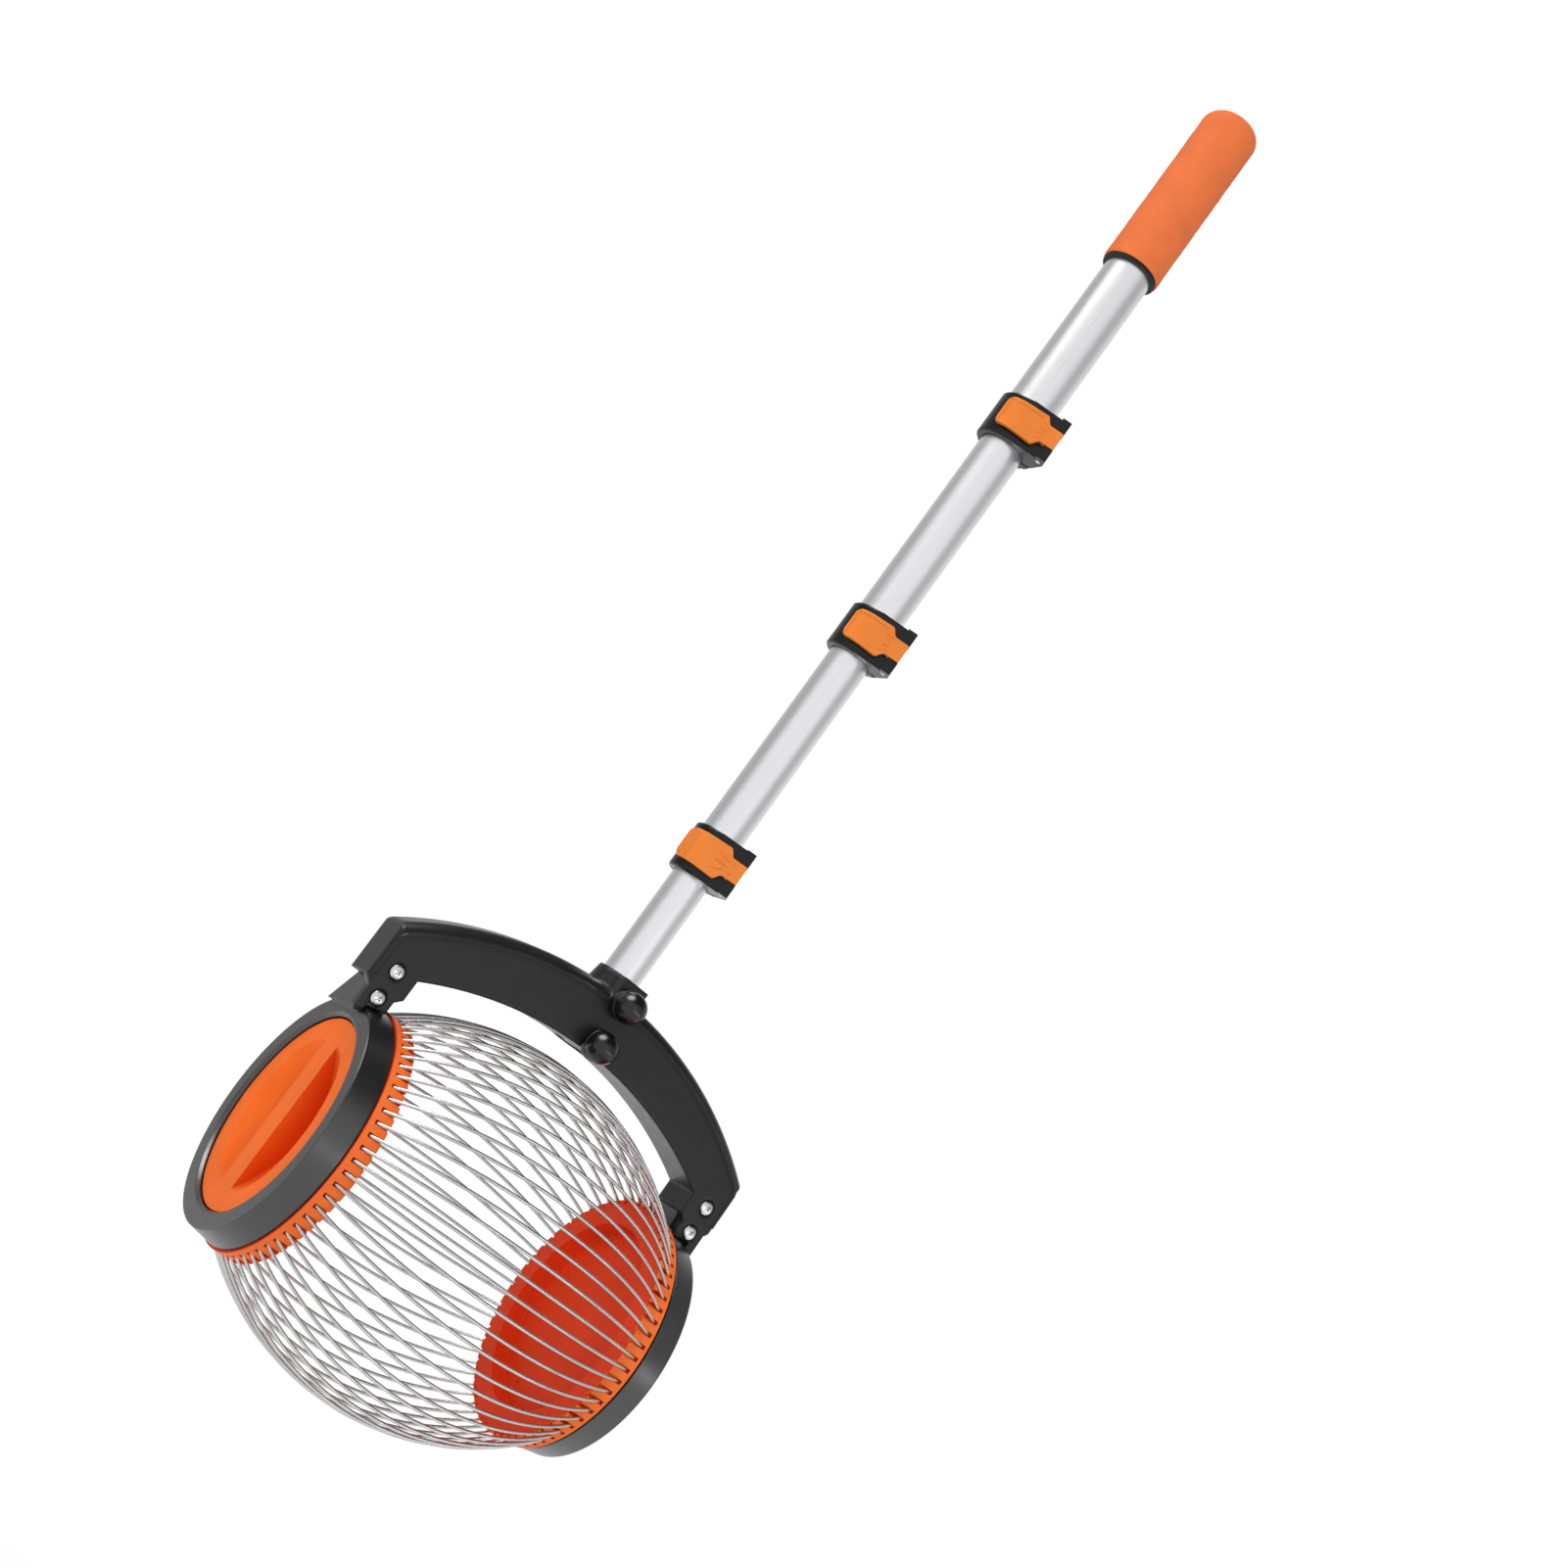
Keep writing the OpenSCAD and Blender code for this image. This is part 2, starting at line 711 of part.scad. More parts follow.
module left_lug_screws() lug_screws(-1);
module right_lug_screws() lug_screws(1);

module knob_bolt(z) {
    color("silver") at_axle() translate([0, bolt_seat_y, z]) rotate([90, 0, 0]) {
        translate([0, 0, -bolt_head_h]) cylinder(d = bolt_head_d, h = bolt_head_h, $fn = 6);
        cylinder(d = bolt_d, h = bolt_seat_y - front_y + bolt_grip);
    }
}

module upper_knob_bolt() knob_bolt(knob_zs[1]);
module lower_knob_bolt() knob_bolt(knob_zs[0]);

// Domed thumb nut with a grooved rim
module knob(z) {
    r = knob_d / 2;
    dome_r = (pow(r - chamfer, 2) + pow(knob_dome_h, 2)) / (2 * knob_dome_h);
    color([0.07, 0.07, 0.08]) at_axle() translate([0, front_y - seat_clear, z]) rotate([90, 0, 0]) {
        difference() {
            union() {
                cylinder(r = r, h = knob_rim_h);
                translate([0, 0, knob_rim_h]) intersection() {
                    translate([0, 0, knob_dome_h - dome_r]) sphere(dome_r);
                    cylinder(r = r, h = knob_dome_h + over);
                }
            }
            for (i = [0 : knob_grooves - 1]) rotate([0, 0, 360 * i / knob_grooves]) {
                translate([r, 0, chamfer]) cylinder(r = chamfer / 2, h = knob_rim_h);
            }
            translate([0, 0, -over]) cylinder(d = bolt_d + 2 * fit_clear, h = bolt_grip + over + seat_clear);
        }
    }
}

module upper_knob() knob(knob_zs[1]);
module lower_knob() knob(knob_zs[0]);

// End ring with the neck and tongue that carry it behind a lug of the yoke
module end_ring(side) {
    color([0.2, 0.2, 0.21]) at_axle() on_side(side) difference() {
        union() {
            about_axle() polygon([
                [ring_bore_r, ring_x0],
                [ring_r, ring_x0],
                [ring_face_r, ring_x1],
                [ring_bore_r + ring_mouth_edge, ring_x1],
                [ring_bore_r, ring_x1 - ring_mouth_edge]
            ]);
            along_axle(neck_x0, neck_x1) neck_outline();
            tongue(0);
        }
        for (z = [screw_low_z, screw_high_z]) screw_hole(z, lug_back_y - over);
    }
}

// Neck in Y and Z: straight behind the lug, sloping out at the back to a foot on the ring
module neck_outline() {
    root_z = (ring_bore_r + ring_face_r) / 2;
    foot_y = back_y + neck_flare;
    polygon([
        [lug_back_y, root_z],
        [lug_back_y, leg_z],
        [back_y, leg_z],
        [foot_y, sqrt(pow(ring_face_r, 2) - pow(foot_y, 2))]
    ]);
}

module left_end_ring() end_ring(-1);
module right_end_ring() end_ring(1);

// Copies a shape to a run of wire places round the axle, counted from the back over the top
module each_wire(first = 0, count = wire_count) {
    for (i = [first : first + count - 1]) rotate([(i + 1 / 2) * wire_pitch, 0, 0]) children();
}

// Rim with a slot and a hole for every wire, and the journal that turns in the end ring
module hub_body(rim_gap) {
    rim_x1 = hub_x1 - rim_gap;
    thrust_r = journal_r + thrust_h;
    slot_w = wire_d + 2 * wire_clear;
    hole_r = hook_top_r - wire_hook - wire_clear;
    difference() {
        union() {
            about_axle() polygon([
                [mouth_r, hub_x0],
                [hub_r - chamfer, hub_x0],
                [hub_r, hub_x0 + chamfer],
                [hub_r, rim_x1],
                [thrust_r, rim_x1],
                [thrust_r, hub_x1],
                [mouth_r, hub_x1]
            ]);
            about_axle() translate([mouth_r, hub_x1 - over]) {
                square([journal_r - mouth_r, journal_x1 - hub_x1 + over]);
            }
        }
        each_wire() {
            translate([hub_x0 - over, hook_top_r, -slot_w / 2]) {
                cube([hook_x + slot_w / 2 - hub_x0 + over, hub_r, slot_w]);
            }
            translate([hook_x, hole_r, 0]) rotate([-90, 0, 0]) {
                cylinder(d = slot_w, h = hook_top_r - hole_r + over);
            }
        }
    }
}

// Sector of a ring about the axle that clears one bayonet lug
module bayonet_room(clear, x1, a0, span) {
    rotate([a0, 0, 0]) about_axle(span) translate([mouth_r - over, bayonet_x0 - clear]) {
        square([bayonet_r + clear - mouth_r + over, x1 - bayonet_x0 + clear]);
    }
}

// Hub with the mouth for the lid: each lug has a groove to turn in and a wider way out
module left_hub() {
    groove_span = lid_twist + bayonet_span / 2 + bayonet_slack;
    entry_span = bayonet_span + 2 * bayonet_slack;
    color("orangered") at_axle() on_side(-1) difference() {
        hub_body(lid_rim_gap);
        for (i = [0 : bayonet_count - 1]) rotate([360 * i / bayonet_count, 0, 0]) {
            bayonet_room(run_clear, bayonet_x1 + run_clear, -bayonet_slack, groove_span);
            bayonet_room(2 * run_clear, journal_x1 + over, lid_twist - bayonet_slack, entry_span);
        }
    }
}

module right_hub() {
    color("orangered") at_axle() difference() {
        union() {
            hub_body(closed_rim_gap);
            about_axle() translate([0, hub_x0 + dish_depth]) square([mouth_r + over, dish_floor]);
        }
        about_axle() translate([0, hub_x0 - over]) square([dish_r, dish_depth + over]);
        for (i = [0 : dish_hole_count - 1]) rotate([360 * (i + 1 / 2) / dish_hole_count, 0, 0]) {
            translate([hub_x0, 0, dish_r * dish_hole_ring_share]) rotate([0, 90, 0]) {
                cylinder(d = dish_hole_d, h = dish_depth + dish_floor + over);
            }
        }
    }
}

// One wire: an arc from hub to hub, a bend and a slightly swollen hook at each end
module wire() {
    hook_d = wire_d + 2 * hook_swell;
    translate([0, arc_centre_r, 0]) rotate([0, 0, 90 - arc_end]) {
        rotate_extrude(angle = 2 * arc_end, $fn = 240) {
            translate([wire_arc_r, 0]) circle(d = wire_d, $fn = 24);
        }
    }
    for (side = [-1, 1]) on_side(side) {
        translate([bend_x, hook_top_r, 0]) rotate_extrude(angle = 90 - arc_end + hook_lap) {
            translate([wire_bend_r, 0]) circle(d = hook_d, $fn = 24);
        }
        translate([hook_x, hook_top_r - wire_hook, 0]) rotate([-90, 0, 0]) {
            cylinder(d = hook_d, h = wire_hook, $fn = 24);
        }
    }
}

// The wires of the upper half of the cage
module upper_wires() {
    color("silver") at_axle() each_wire(0, wire_count / 2) wire();
}

// The wires of the lower half of the cage
module lower_wires() {
    color("silver") at_axle() each_wire(wire_count / 2, wire_count / 2) wire();
}

// Half of a scoop's spindle, turned about an axis along the grip bar
module scoop(grow) {
    reach = 2 * scoop_bow_r;
    translate([lid_x1 + scoop_lift, lid_bar_w / 2, 0]) intersection() {
        rotate_extrude() intersection() {
            translate([scoop_lift + scoop_depth - scoop_bow_r, 0]) circle(scoop_bow_r + grow);
            translate([0, -reach]) square([reach, 2 * reach]);
        }
        translate([-reach, -grow, -reach]) cube(2 * reach);
    }
}

// Twist lid: face, skirt with bayonet lugs, and two scoops that leave a grip bar
module lid() {
    color("orangered") at_axle() on_side(-1) difference() {
        union() {
            about_axle() translate([0, lid_x0]) square([lid_r, lid_t]);
            about_axle() translate([skirt_r - lid_wall, lid_x0 - lid_skirt]) {
                square([lid_wall, lid_skirt + over]);
            }
            intersection() {
                for (s = [0, 1]) mirror([0, s, 0]) scoop(lid_wall);
                about_axle() translate([0, lid_x1 - scoop_depth - lid_wall]) {
                    square([skirt_r, scoop_depth + lid_wall - over]);
                }
            }
            for (i = [0 : bayonet_count - 1]) rotate([360 * i / bayonet_count, 0, 0]) {
                about_axle(bayonet_span) translate([skirt_r - lid_wall / 2, bayonet_x0]) {
                    square([bayonet_r - skirt_r + lid_wall / 2, bayonet_t]);
                }
            }
        }
        for (s = [0, 1]) mirror([0, s, 0]) scoop(0);
    }
}

top_tube();
grip_liner();
grip_sleeve();
upper_collar();
upper_lever_pin();
upper_lever();
upper_middle_tube();
upper_middle_plug();
middle_collar();
middle_lever_pin();
middle_lever();
lower_middle_tube();
lower_middle_plug();
lower_collar();
lower_lever_pin();
lower_lever();
bottom_tube();
bottom_plug();
yoke();
upper_knob_bolt();
lower_knob_bolt();
upper_knob();
lower_knob();
left_end_ring();
right_end_ring();
left_lug_screws();
right_lug_screws();
left_hub();
right_hub();
upper_wires();
lower_wires();
lid();
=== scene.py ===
# %% [markdown]
# # Finishing a rolling nut gatherer
# A wire cage on a telescopic pole rolls over the ground, and its wires give way to whatever it
# picks up. The solids of the part come from the CAD model and stay where they are. This lesson
# sets up the view, gives every solid the finish of the real material, and models by hand the
# small or soft pieces that a solid can't show well: the foam grip, the cross-recess screws, the
# knobs and the finger ridges.

# %% Load the CAD frame
import json
import math

import bpy
from mathutils import Matrix, Vector


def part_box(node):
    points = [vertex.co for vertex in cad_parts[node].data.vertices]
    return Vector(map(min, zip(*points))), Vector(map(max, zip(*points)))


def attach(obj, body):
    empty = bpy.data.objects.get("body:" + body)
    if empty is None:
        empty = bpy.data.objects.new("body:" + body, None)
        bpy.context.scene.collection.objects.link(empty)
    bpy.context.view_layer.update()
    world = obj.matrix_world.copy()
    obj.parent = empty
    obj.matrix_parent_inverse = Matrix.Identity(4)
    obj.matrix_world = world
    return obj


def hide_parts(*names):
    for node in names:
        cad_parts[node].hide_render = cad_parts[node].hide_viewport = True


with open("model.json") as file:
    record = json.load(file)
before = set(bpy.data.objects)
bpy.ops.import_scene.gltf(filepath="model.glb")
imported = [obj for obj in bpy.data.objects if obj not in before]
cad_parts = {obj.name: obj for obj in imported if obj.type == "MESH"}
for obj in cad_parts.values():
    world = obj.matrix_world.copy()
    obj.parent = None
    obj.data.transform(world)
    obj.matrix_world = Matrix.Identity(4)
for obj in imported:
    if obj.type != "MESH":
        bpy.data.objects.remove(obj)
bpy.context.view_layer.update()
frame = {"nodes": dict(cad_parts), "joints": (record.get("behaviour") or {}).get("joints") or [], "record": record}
nodes = frame["nodes"]

# %% [markdown]
# ## Camera
# The photograph was taken from the lid end, level with the cage, with the camera tipped a little
# upwards and rolled, so that the pole runs to the upper right. A camera could be aimed by hand
# until it looks right. Here its three axes were worked out from the outline of the cage, the end
# rings and the tubes, so they are written down as directions in the frame of the part.

# %% Set the camera
image_right = Vector((0.668364, -0.478245, 0.569711))
image_up = Vector((-0.602792, 0.100505, 0.791543))
image_back = Vector((-0.435810, -0.872457, -0.221109))
camera_spot = Vector((-0.53956, -1.09671, 0.125554))
lens_mm, sensor_mm = 52.3946, 36
camera_data = bpy.data.cameras.new("photo_view")
camera_data.lens = lens_mm
camera_data.sensor_width = sensor_mm
camera = bpy.data.objects.new("photo_view", camera_data)
turn = Matrix((image_right, image_up, image_back)).transposed()
camera.matrix_world = Matrix.Translation(camera_spot) @ turn.to_4x4()
bpy.context.scene.collection.objects.link(camera)
bpy.context.scene.camera = camera
print("camera at", tuple(round(v, 3) for v in camera.location))

# %% [markdown]
# ## Helpers for nodes
# Every finish below is a small network of shader nodes. Adding a node, setting its values and
# linking its inputs always takes the same three steps, so one helper does them together. The
# next one starts a node group and gives it named inputs and outputs, and the short ones add the
# few kinds of node that are used again and again.

# %% Node helpers
usual_noise = (0.3, 0.7)  # nearly all of a noise texture lies between these values


def add_node(tree, kind, inputs=None, **settings):
    made = tree.nodes.new(kind)
    for key, value in settings.items():
        setattr(made, key, value)
    for key, value in (inputs or {}).items():
        if isinstance(value, bpy.types.NodeSocket):
            tree.links.new(value, made.inputs[key])
        else:
            made.inputs[key].default_value = value
    return made


def new_group(name, takes, gives):
    group = bpy.data.node_groups.new(name, "ShaderNodeTree")
    for label, kind in takes:
        group.interface.new_socket(label, in_out="INPUT", socket_type="NodeSocket" + kind)
    for label, kind in gives:
        group.interface.new_socket(label, in_out="OUTPUT", socket_type="NodeSocket" + kind)
    given = group.nodes.new("NodeGroupInput").outputs
    put_out = group.nodes.new("NodeGroupOutput").inputs
    print("node group", name)
    return group, given, put_out


# %% Short helpers for the usual nodes
def combine(tree, operation, first, second):
    return add_node(tree, "ShaderNodeMath", {0: first, 1: second}, operation=operation).outputs[0]


def vector_math(tree, operation, first, second=(0, 0, 0)):
    return add_node(
        tree, "ShaderNodeVectorMath", {0: first, 1: second}, operation=operation).outputs


def noise(tree, place, scale, detail, roughness=0.5):
    return add_node(tree, "ShaderNodeTexNoise", {
        "Vector": place, "Scale": scale, "Detail": detail, "Roughness": roughness}).outputs["Fac"]


def spread(tree, value, low, high, from_low=0.0, from_high=1.0):
    return add_node(tree, "ShaderNodeMapRange", {
        "Value": value, "From Min": from_low, "From Max": from_high,
        "To Min": low, "To Max": high}).outputs["Result"]


def blend_colour(tree, share, first, second):
    mix_share, mix_first, mix_second, mixed = 0, 6, 7, 2  # the colour sockets of a Mix node
    return add_node(tree, "ShaderNodeMix", {
        mix_share: share, mix_first: first, mix_second: second}, data_type="RGBA").outputs[mixed]


def shade_colour(tree, colour, factor):
    return add_node(tree, "ShaderNodeVectorMath", {
        0: colour, "Scale": factor}, operation="SCALE").outputs["Vector"]


# %% [markdown]
# ## Soft edges
# No moulded part has a knife-sharp edge: light always catches a narrow rounding there, and
# the rounding is where wear shows first. The edges could be bevelled in the mesh, but the CAD
# meshes stay as they are. The Bevel node rounds the shading instead, and how far the rounded
# normal leans from the true one tells where an edge is.

# %% Group for soft edges
soft_edges, given, put_out = new_group(
    "soft_edges", [("Radius", "Float")], [("Normal", "Vector"), ("Edge", "Float")])
rounded = add_node(
    soft_edges, "ShaderNodeBevel", {"Radius": given["Radius"]}, samples=6).outputs["Normal"]
true_normal = add_node(soft_edges, "ShaderNodeNewGeometry").outputs["Normal"]
agreement = vector_math(soft_edges, "DOT_PRODUCT", rounded, true_normal)["Value"]
at_an_edge, on_a_face = 0.82, 0.995
edge = spread(soft_edges, agreement, 1.0, 0.0, at_an_edge, on_a_face)
soft_edges.links.new(rounded, put_out["Normal"])
soft_edges.links.new(edge, put_out["Edge"])

# %% [markdown]
# ## Moulded skin
# The plastic parts come out of a mould with a fine grain and slightly uneven gloss, and their
# edges are painted a little lighter in patches, partly as wear and partly as painted highlight.
# All of that could be painted for each part. As a group with its own colour, grain and gloss
# values it serves the black and the orange parts alike.

# %% Group for moulded plastic
moulded_skin, given, put_out = new_group(
    "moulded_skin",
    [("Colour", "Color"), ("Edge Wear And Highlight", "Color"), ("Grain Scale", "Float"),
     ("Grain Height", "Float"), ("Roughness", "Float"), ("Edge Radius", "Float")],
    [("Colour", "Color"), ("Roughness", "Float"), ("Normal", "Vector")])
place = add_node(moulded_skin, "ShaderNodeTexCoord").outputs["Object"]
edges = add_node(moulded_skin, "ShaderNodeGroup", {
    "Radius": given["Edge Radius"]}, node_tree=soft_edges).outputs
patches_per_metre, finger_marks_per_metre = 26.0, 140.0
cloud = noise(moulded_skin, place, patches_per_metre, 4.0)
handling = noise(moulded_skin, place, finger_marks_per_metre, 5.0)
grain = noise(moulded_skin, place, given["Grain Scale"], 2.0)
shade = spread(moulded_skin, cloud, 0.91, 1.07, *usual_noise)
tinted = shade_colour(moulded_skin, given["Colour"], shade)
# Lighter colour on the edges in patches: partly wear, partly painted highlight.
worn_and_lit_edges = combine(moulded_skin, "MULTIPLY", edges["Edge"], handling)
coloured = blend_colour(moulded_skin, worn_and_lit_edges, tinted, given["Edge Wear And Highlight"])
uneven = spread(moulded_skin, handling, -0.03, 0.03, *usual_noise)
roughness = combine(moulded_skin, "ADD", given["Roughness"], uneven)
relief = add_node(moulded_skin, "ShaderNodeBump", {
    "Strength": 0.6, "Distance": given["Grain Height"], "Height": grain,
    "Normal": edges["Normal"]}).outputs["Normal"]
moulded_skin.links.new(coloured, put_out["Colour"])
moulded_skin.links.new(roughness, put_out["Roughness"])
moulded_skin.links.new(relief, put_out["Normal"])

# %% [markdown]
# ## Painted shade in the hollows of the orange plastic
# The hollows of the orange parts get painted shade, a darker red mixed into their colour. Two
# groups say where: one asks how much open sky a point sees, for the scoops of the lid. The other
# asks whether a face looks away from the axle, which only the outside of a hub's rim does; the
# other faces of a hub get the painted shade.

# %% Group for painted shade in the scoops of the lid
two_colours = [("Colour", "Color"), ("Painted Shade Colour", "Color")]
painted_scoop_shade, given, put_out = new_group(
    "painted_scoop_shade", two_colours + [("Reach", "Float")], [("Colour", "Color")])
open_sky = add_node(painted_scoop_shade, "ShaderNodeAmbientOcclusion", {
    "Distance": given["Reach"]}, samples=8, only_local=True).outputs["AO"]
deep_sky, flat_sky = 0.4, 0.97
# The less open sky a point sees, the more painted shade it gets.
depth = spread(painted_scoop_shade, open_sky, 1.0, 0.0, deep_sky, flat_sky)
scoop_shaded_colour = blend_colour(painted_scoop_shade, depth, given["Colour"], given["Painted Shade Colour"])
painted_scoop_shade.links.new(scoop_shaded_colour, put_out["Colour"])

# %% Group for painted shade inside the hubs
rim_and_inside, given, put_out = new_group(
    "rim_and_inside", two_colours + [("Axle", "Vector")], [("Colour", "Color")])
coords = add_node(rim_and_inside, "ShaderNodeTexCoord").outputs
offset = vector_math(rim_and_inside, "SUBTRACT", coords["Object"], given["Axle"])["Vector"]
across = vector_math(rim_and_inside, "MULTIPLY", offset, (0, 1, 1))["Vector"]
outward = vector_math(rim_and_inside, "NORMALIZE", across)["Vector"]
facing = vector_math(rim_and_inside, "DOT_PRODUCT", outward, coords["Normal"])["Value"]
faces_in, faces_out = 0.3, 0.7
# Faces that don't look away from the axle get the painted shade.
inside = spread(rim_and_inside, facing, 1.0, 0.0, faces_in, faces_out)
hub_shaded_colour = blend_colour(rim_and_inside, inside, given["Colour"], given["Painted Shade Colour"])
rim_and_inside.links.new(hub_shaded_colour, put_out["Colour"])

# %% [markdown]
# ## Drawn metal
# Tube and wire are pulled through a die, which leaves faint lines along their length. A brush
# texture could be laid on with a UV map, but noise that is stretched along one axis of the
# part gives the same lines with no map at all. The stretch is an input, because the tubes run
# along the pole and the wires run along the axle.

# %% Group for drawn metal
drawn_metal, given, put_out = new_group(
    "drawn_metal",
    [("Colour", "Color"), ("Dull Colour", "Color"), ("Stretch", "Vector"),
     ("Line Height", "Float"), ("Roughness", "Float")],
    [("Colour", "Color"), ("Roughness", "Float"), ("Normal", "Vector")])
place = add_node(drawn_metal, "ShaderNodeTexCoord").outputs["Object"]
pulled = vector_math(drawn_metal, "MULTIPLY", place, given["Stretch"])["Vector"]
dull_spots_per_metre = 45.0
lines = noise(drawn_metal, pulled, 1.0, 4.0, 0.6)
cloud = noise(drawn_metal, place, dull_spots_per_metre, 4.0)
dulled = spread(drawn_metal, cloud, 0.0, 0.5, 0.45, 0.75)
streak = spread(drawn_metal, lines, 0.0, 0.35, 0.35, 0.7)
dim = combine(drawn_metal, "MAXIMUM", dulled, streak)
coloured = blend_colour(drawn_metal, dim, given["Colour"], given["Dull Colour"])
uneven = spread(drawn_metal, lines, -0.03, 0.03, *usual_noise)
roughness = combine(drawn_metal, "ADD", given["Roughness"], uneven)
relief = add_node(drawn_metal, "ShaderNodeBump", {
    "Strength": 0.5, "Distance": given["Line Height"], "Height": lines}).outputs["Normal"]
drawn_metal.links.new(coloured, put_out["Colour"])
drawn_metal.links.new(roughness, put_out["Roughness"])
drawn_metal.links.new(relief, put_out["Normal"])

# %% [markdown]
# ## One function for each kind of finish
# A material is the group with the values of that part, plus the shader itself. Values that are
# the same all over, such as how metallic a part is, go straight onto the shader's sockets.

# %% Material makers
grain_per_metre = 2400.0


def new_material(name, group, values, shader_values):
    material = bpy.data.materials.new(name)
    material.use_nodes = True
    tree = material.node_tree
    shader = tree.nodes["Principled BSDF"]
    for key, value in shader_values.items():
        shader.inputs[key].default_value = value
    effect = add_node(tree, "ShaderNodeGroup", values, node_tree=group)
    tree.links.new(effect.outputs["Colour"], shader.inputs["Base Color"])
    tree.links.new(effect.outputs["Roughness"], shader.inputs["Roughness"])
    tree.links.new(effect.outputs["Normal"], shader.inputs["Normal"])
    return material


def moulded(name, colour, edge_wear_and_highlight, roughness, height=0.00006, edge=0.0006, gloss=0.4):
    return new_material(name, moulded_skin, {
        "Colour": colour + (1,), "Edge Wear And Highlight": edge_wear_and_highlight + (1,),
        "Grain Scale": grain_per_metre, "Grain Height": height,
        "Roughness": roughness, "Edge Radius": edge}, {"Specular IOR Level": gloss})


def drawn(name, colour, dull, stretch, roughness, height=0.00002):
    return new_material(name, drawn_metal, {
        "Colour": colour + (1,), "Dull Colour": dull + (1,), "Stretch": stretch,
        "Line Height": height, "Roughness": roughness}, {"Metallic": 1.0})


# Paints shade into a material: a group mixes a darker painted shade colour into its colour.
def paint_shade_into(material, group, painted_shade_colour, key, value):
    tree = material.node_tree
    skin = next(node for node in tree.nodes if node.type == "GROUP")
    tint = add_node(tree, "ShaderNodeGroup", {
        "Colour": tuple(skin.inputs["Colour"].default_value),
        "Painted Shade Colour": painted_shade_colour + (1,), key: value}, node_tree=group)
    tree.links.new(tint.outputs["Colour"], skin.inputs["Colour"])


# %% [markdown]
# ## Finishes of the metal parts
# The pole is satin aluminium, the cage and the screws are bright steel. One grey for all of them
# would do from afar, but the tubes are drawn along the pole and the wires along the axle, and
# use dulls the wires the most, so each has its own colours and stretch.

# %% Make the metals
metals = {
    "satin_aluminium": dict(
        colour=(0.83, 0.83, 0.85), dull=(0.78, 0.78, 0.8), stretch=(700, 700, 5),
        roughness=0.3, height=0.000002),
    "steel_wire": dict(
        colour=(0.6, 0.59, 0.59), dull=(0.36, 0.355, 0.36), stretch=(40, 2600, 2600),
        roughness=0.26),
    "bright_steel": dict(
        colour=(0.66, 0.67, 0.69), dull=(0.5, 0.51, 0.53), stretch=(900, 900, 900),
        roughness=0.28)}
finishes = {name: drawn(name, **values) for name, values in metals.items()}
print("metals", sorted(finishes))

# %% [markdown]
# ## Finishes of the plastic parts
# The yoke has a satin black skin. The end rings mirror more of the room, which turns their black
# to a dark grey, and the knobs and clamp collars are smoother. The orange parts differ too: the
# levers lean to yellow, and the lid and the hubs get painted shade, a deeper red, where they are
# hollow. One black and one orange would make all of them look like one moulding, so each has its
# own values.

# %% Make the plastics
# The lighter edge colours below are partly wear and partly painted highlight.
plastics = {
    "black_yoke": dict(
        colour=(0.015, 0.015, 0.016), edge_wear_and_highlight=(0.05, 0.05, 0.052), roughness=0.3,
        height=0.000015, edge=0.003, gloss=0.25),
    "dark_ring": dict(
        colour=(0.01, 0.01, 0.0105), edge_wear_and_highlight=(0.035, 0.035, 0.036), roughness=0.3,
        height=0.000015, edge=0.0012, gloss=1.0),
    "black_collar": dict(
        colour=(0.004, 0.004, 0.0045), edge_wear_and_highlight=(0.03, 0.03, 0.032), roughness=0.2,
        edge=0.0008, gloss=0.3),
    "gloss_black": dict(
        colour=(0.005, 0.005, 0.005), edge_wear_and_highlight=(0.03, 0.03, 0.03), roughness=0.24,
        height=0.00001, edge=0.0005, gloss=0.5),
    "grey_plug": dict(
        colour=(0.12, 0.12, 0.125), edge_wear_and_highlight=(0.2, 0.2, 0.2), roughness=0.5),
    "black_liner": dict(
        colour=(0.012, 0.012, 0.012), edge_wear_and_highlight=(0.03, 0.03, 0.03), roughness=0.5, gloss=0.2),
    "orange_lid": dict(
        colour=(0.95, 0.165, 0.02), edge_wear_and_highlight=(1.0, 0.36, 0.12), roughness=0.36,
        height=0.00002, edge=0.0008, gloss=0.06),
    "orange_hub": dict(
        colour=(0.98, 0.19, 0.04), edge_wear_and_highlight=(1.0, 0.3, 0.09), roughness=0.42,
        edge=0.0004, gloss=0.08),
    "orange_lever": dict(
        colour=(0.88, 0.23, 0.022), edge_wear_and_highlight=(0.96, 0.4, 0.1), roughness=0.32,
        height=0.00002, edge=0.0007, gloss=0.3)}
for name, values in plastics.items():
    finishes[name] = moulded(name, **values)
axle = sum(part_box("left_hub"), Vector()) / 2
scoop_reach = 0.026
# Painted shade, a darker red, in the scoops of the lid.
paint_shade_into(finishes["orange_lid"], painted_scoop_shade, (0.68, 0.055, 0.004), "Reach", scoop_reach)
# Painted shade on the faces of a hub that don't look outward.
paint_shade_into(finishes["orange_hub"], rim_and_inside, (0.82, 0.055, 0.01), "Axle", (0, axle.y, axle.z))
print("plastics", sorted(plastics))

# %% [markdown]
# ## Dressing the solids
# Every solid wears the material it is made of on the real tool. They could be picked one by one
# in the material tab. The record of the part already names a finish for each solid, so a loop
# over its list gives out the materials and misses none.

# %% Put the finishes on the solids
def put_on(mesh, slot):
    mesh.materials.clear()
    mesh.materials.append(finishes[slot])


for entry in frame["record"]["subparts"]:
    if entry["material_slot"] in finishes:
        put_on(nodes[entry["node"]].data, entry["material_slot"])
print("finishes", sorted(finishes))

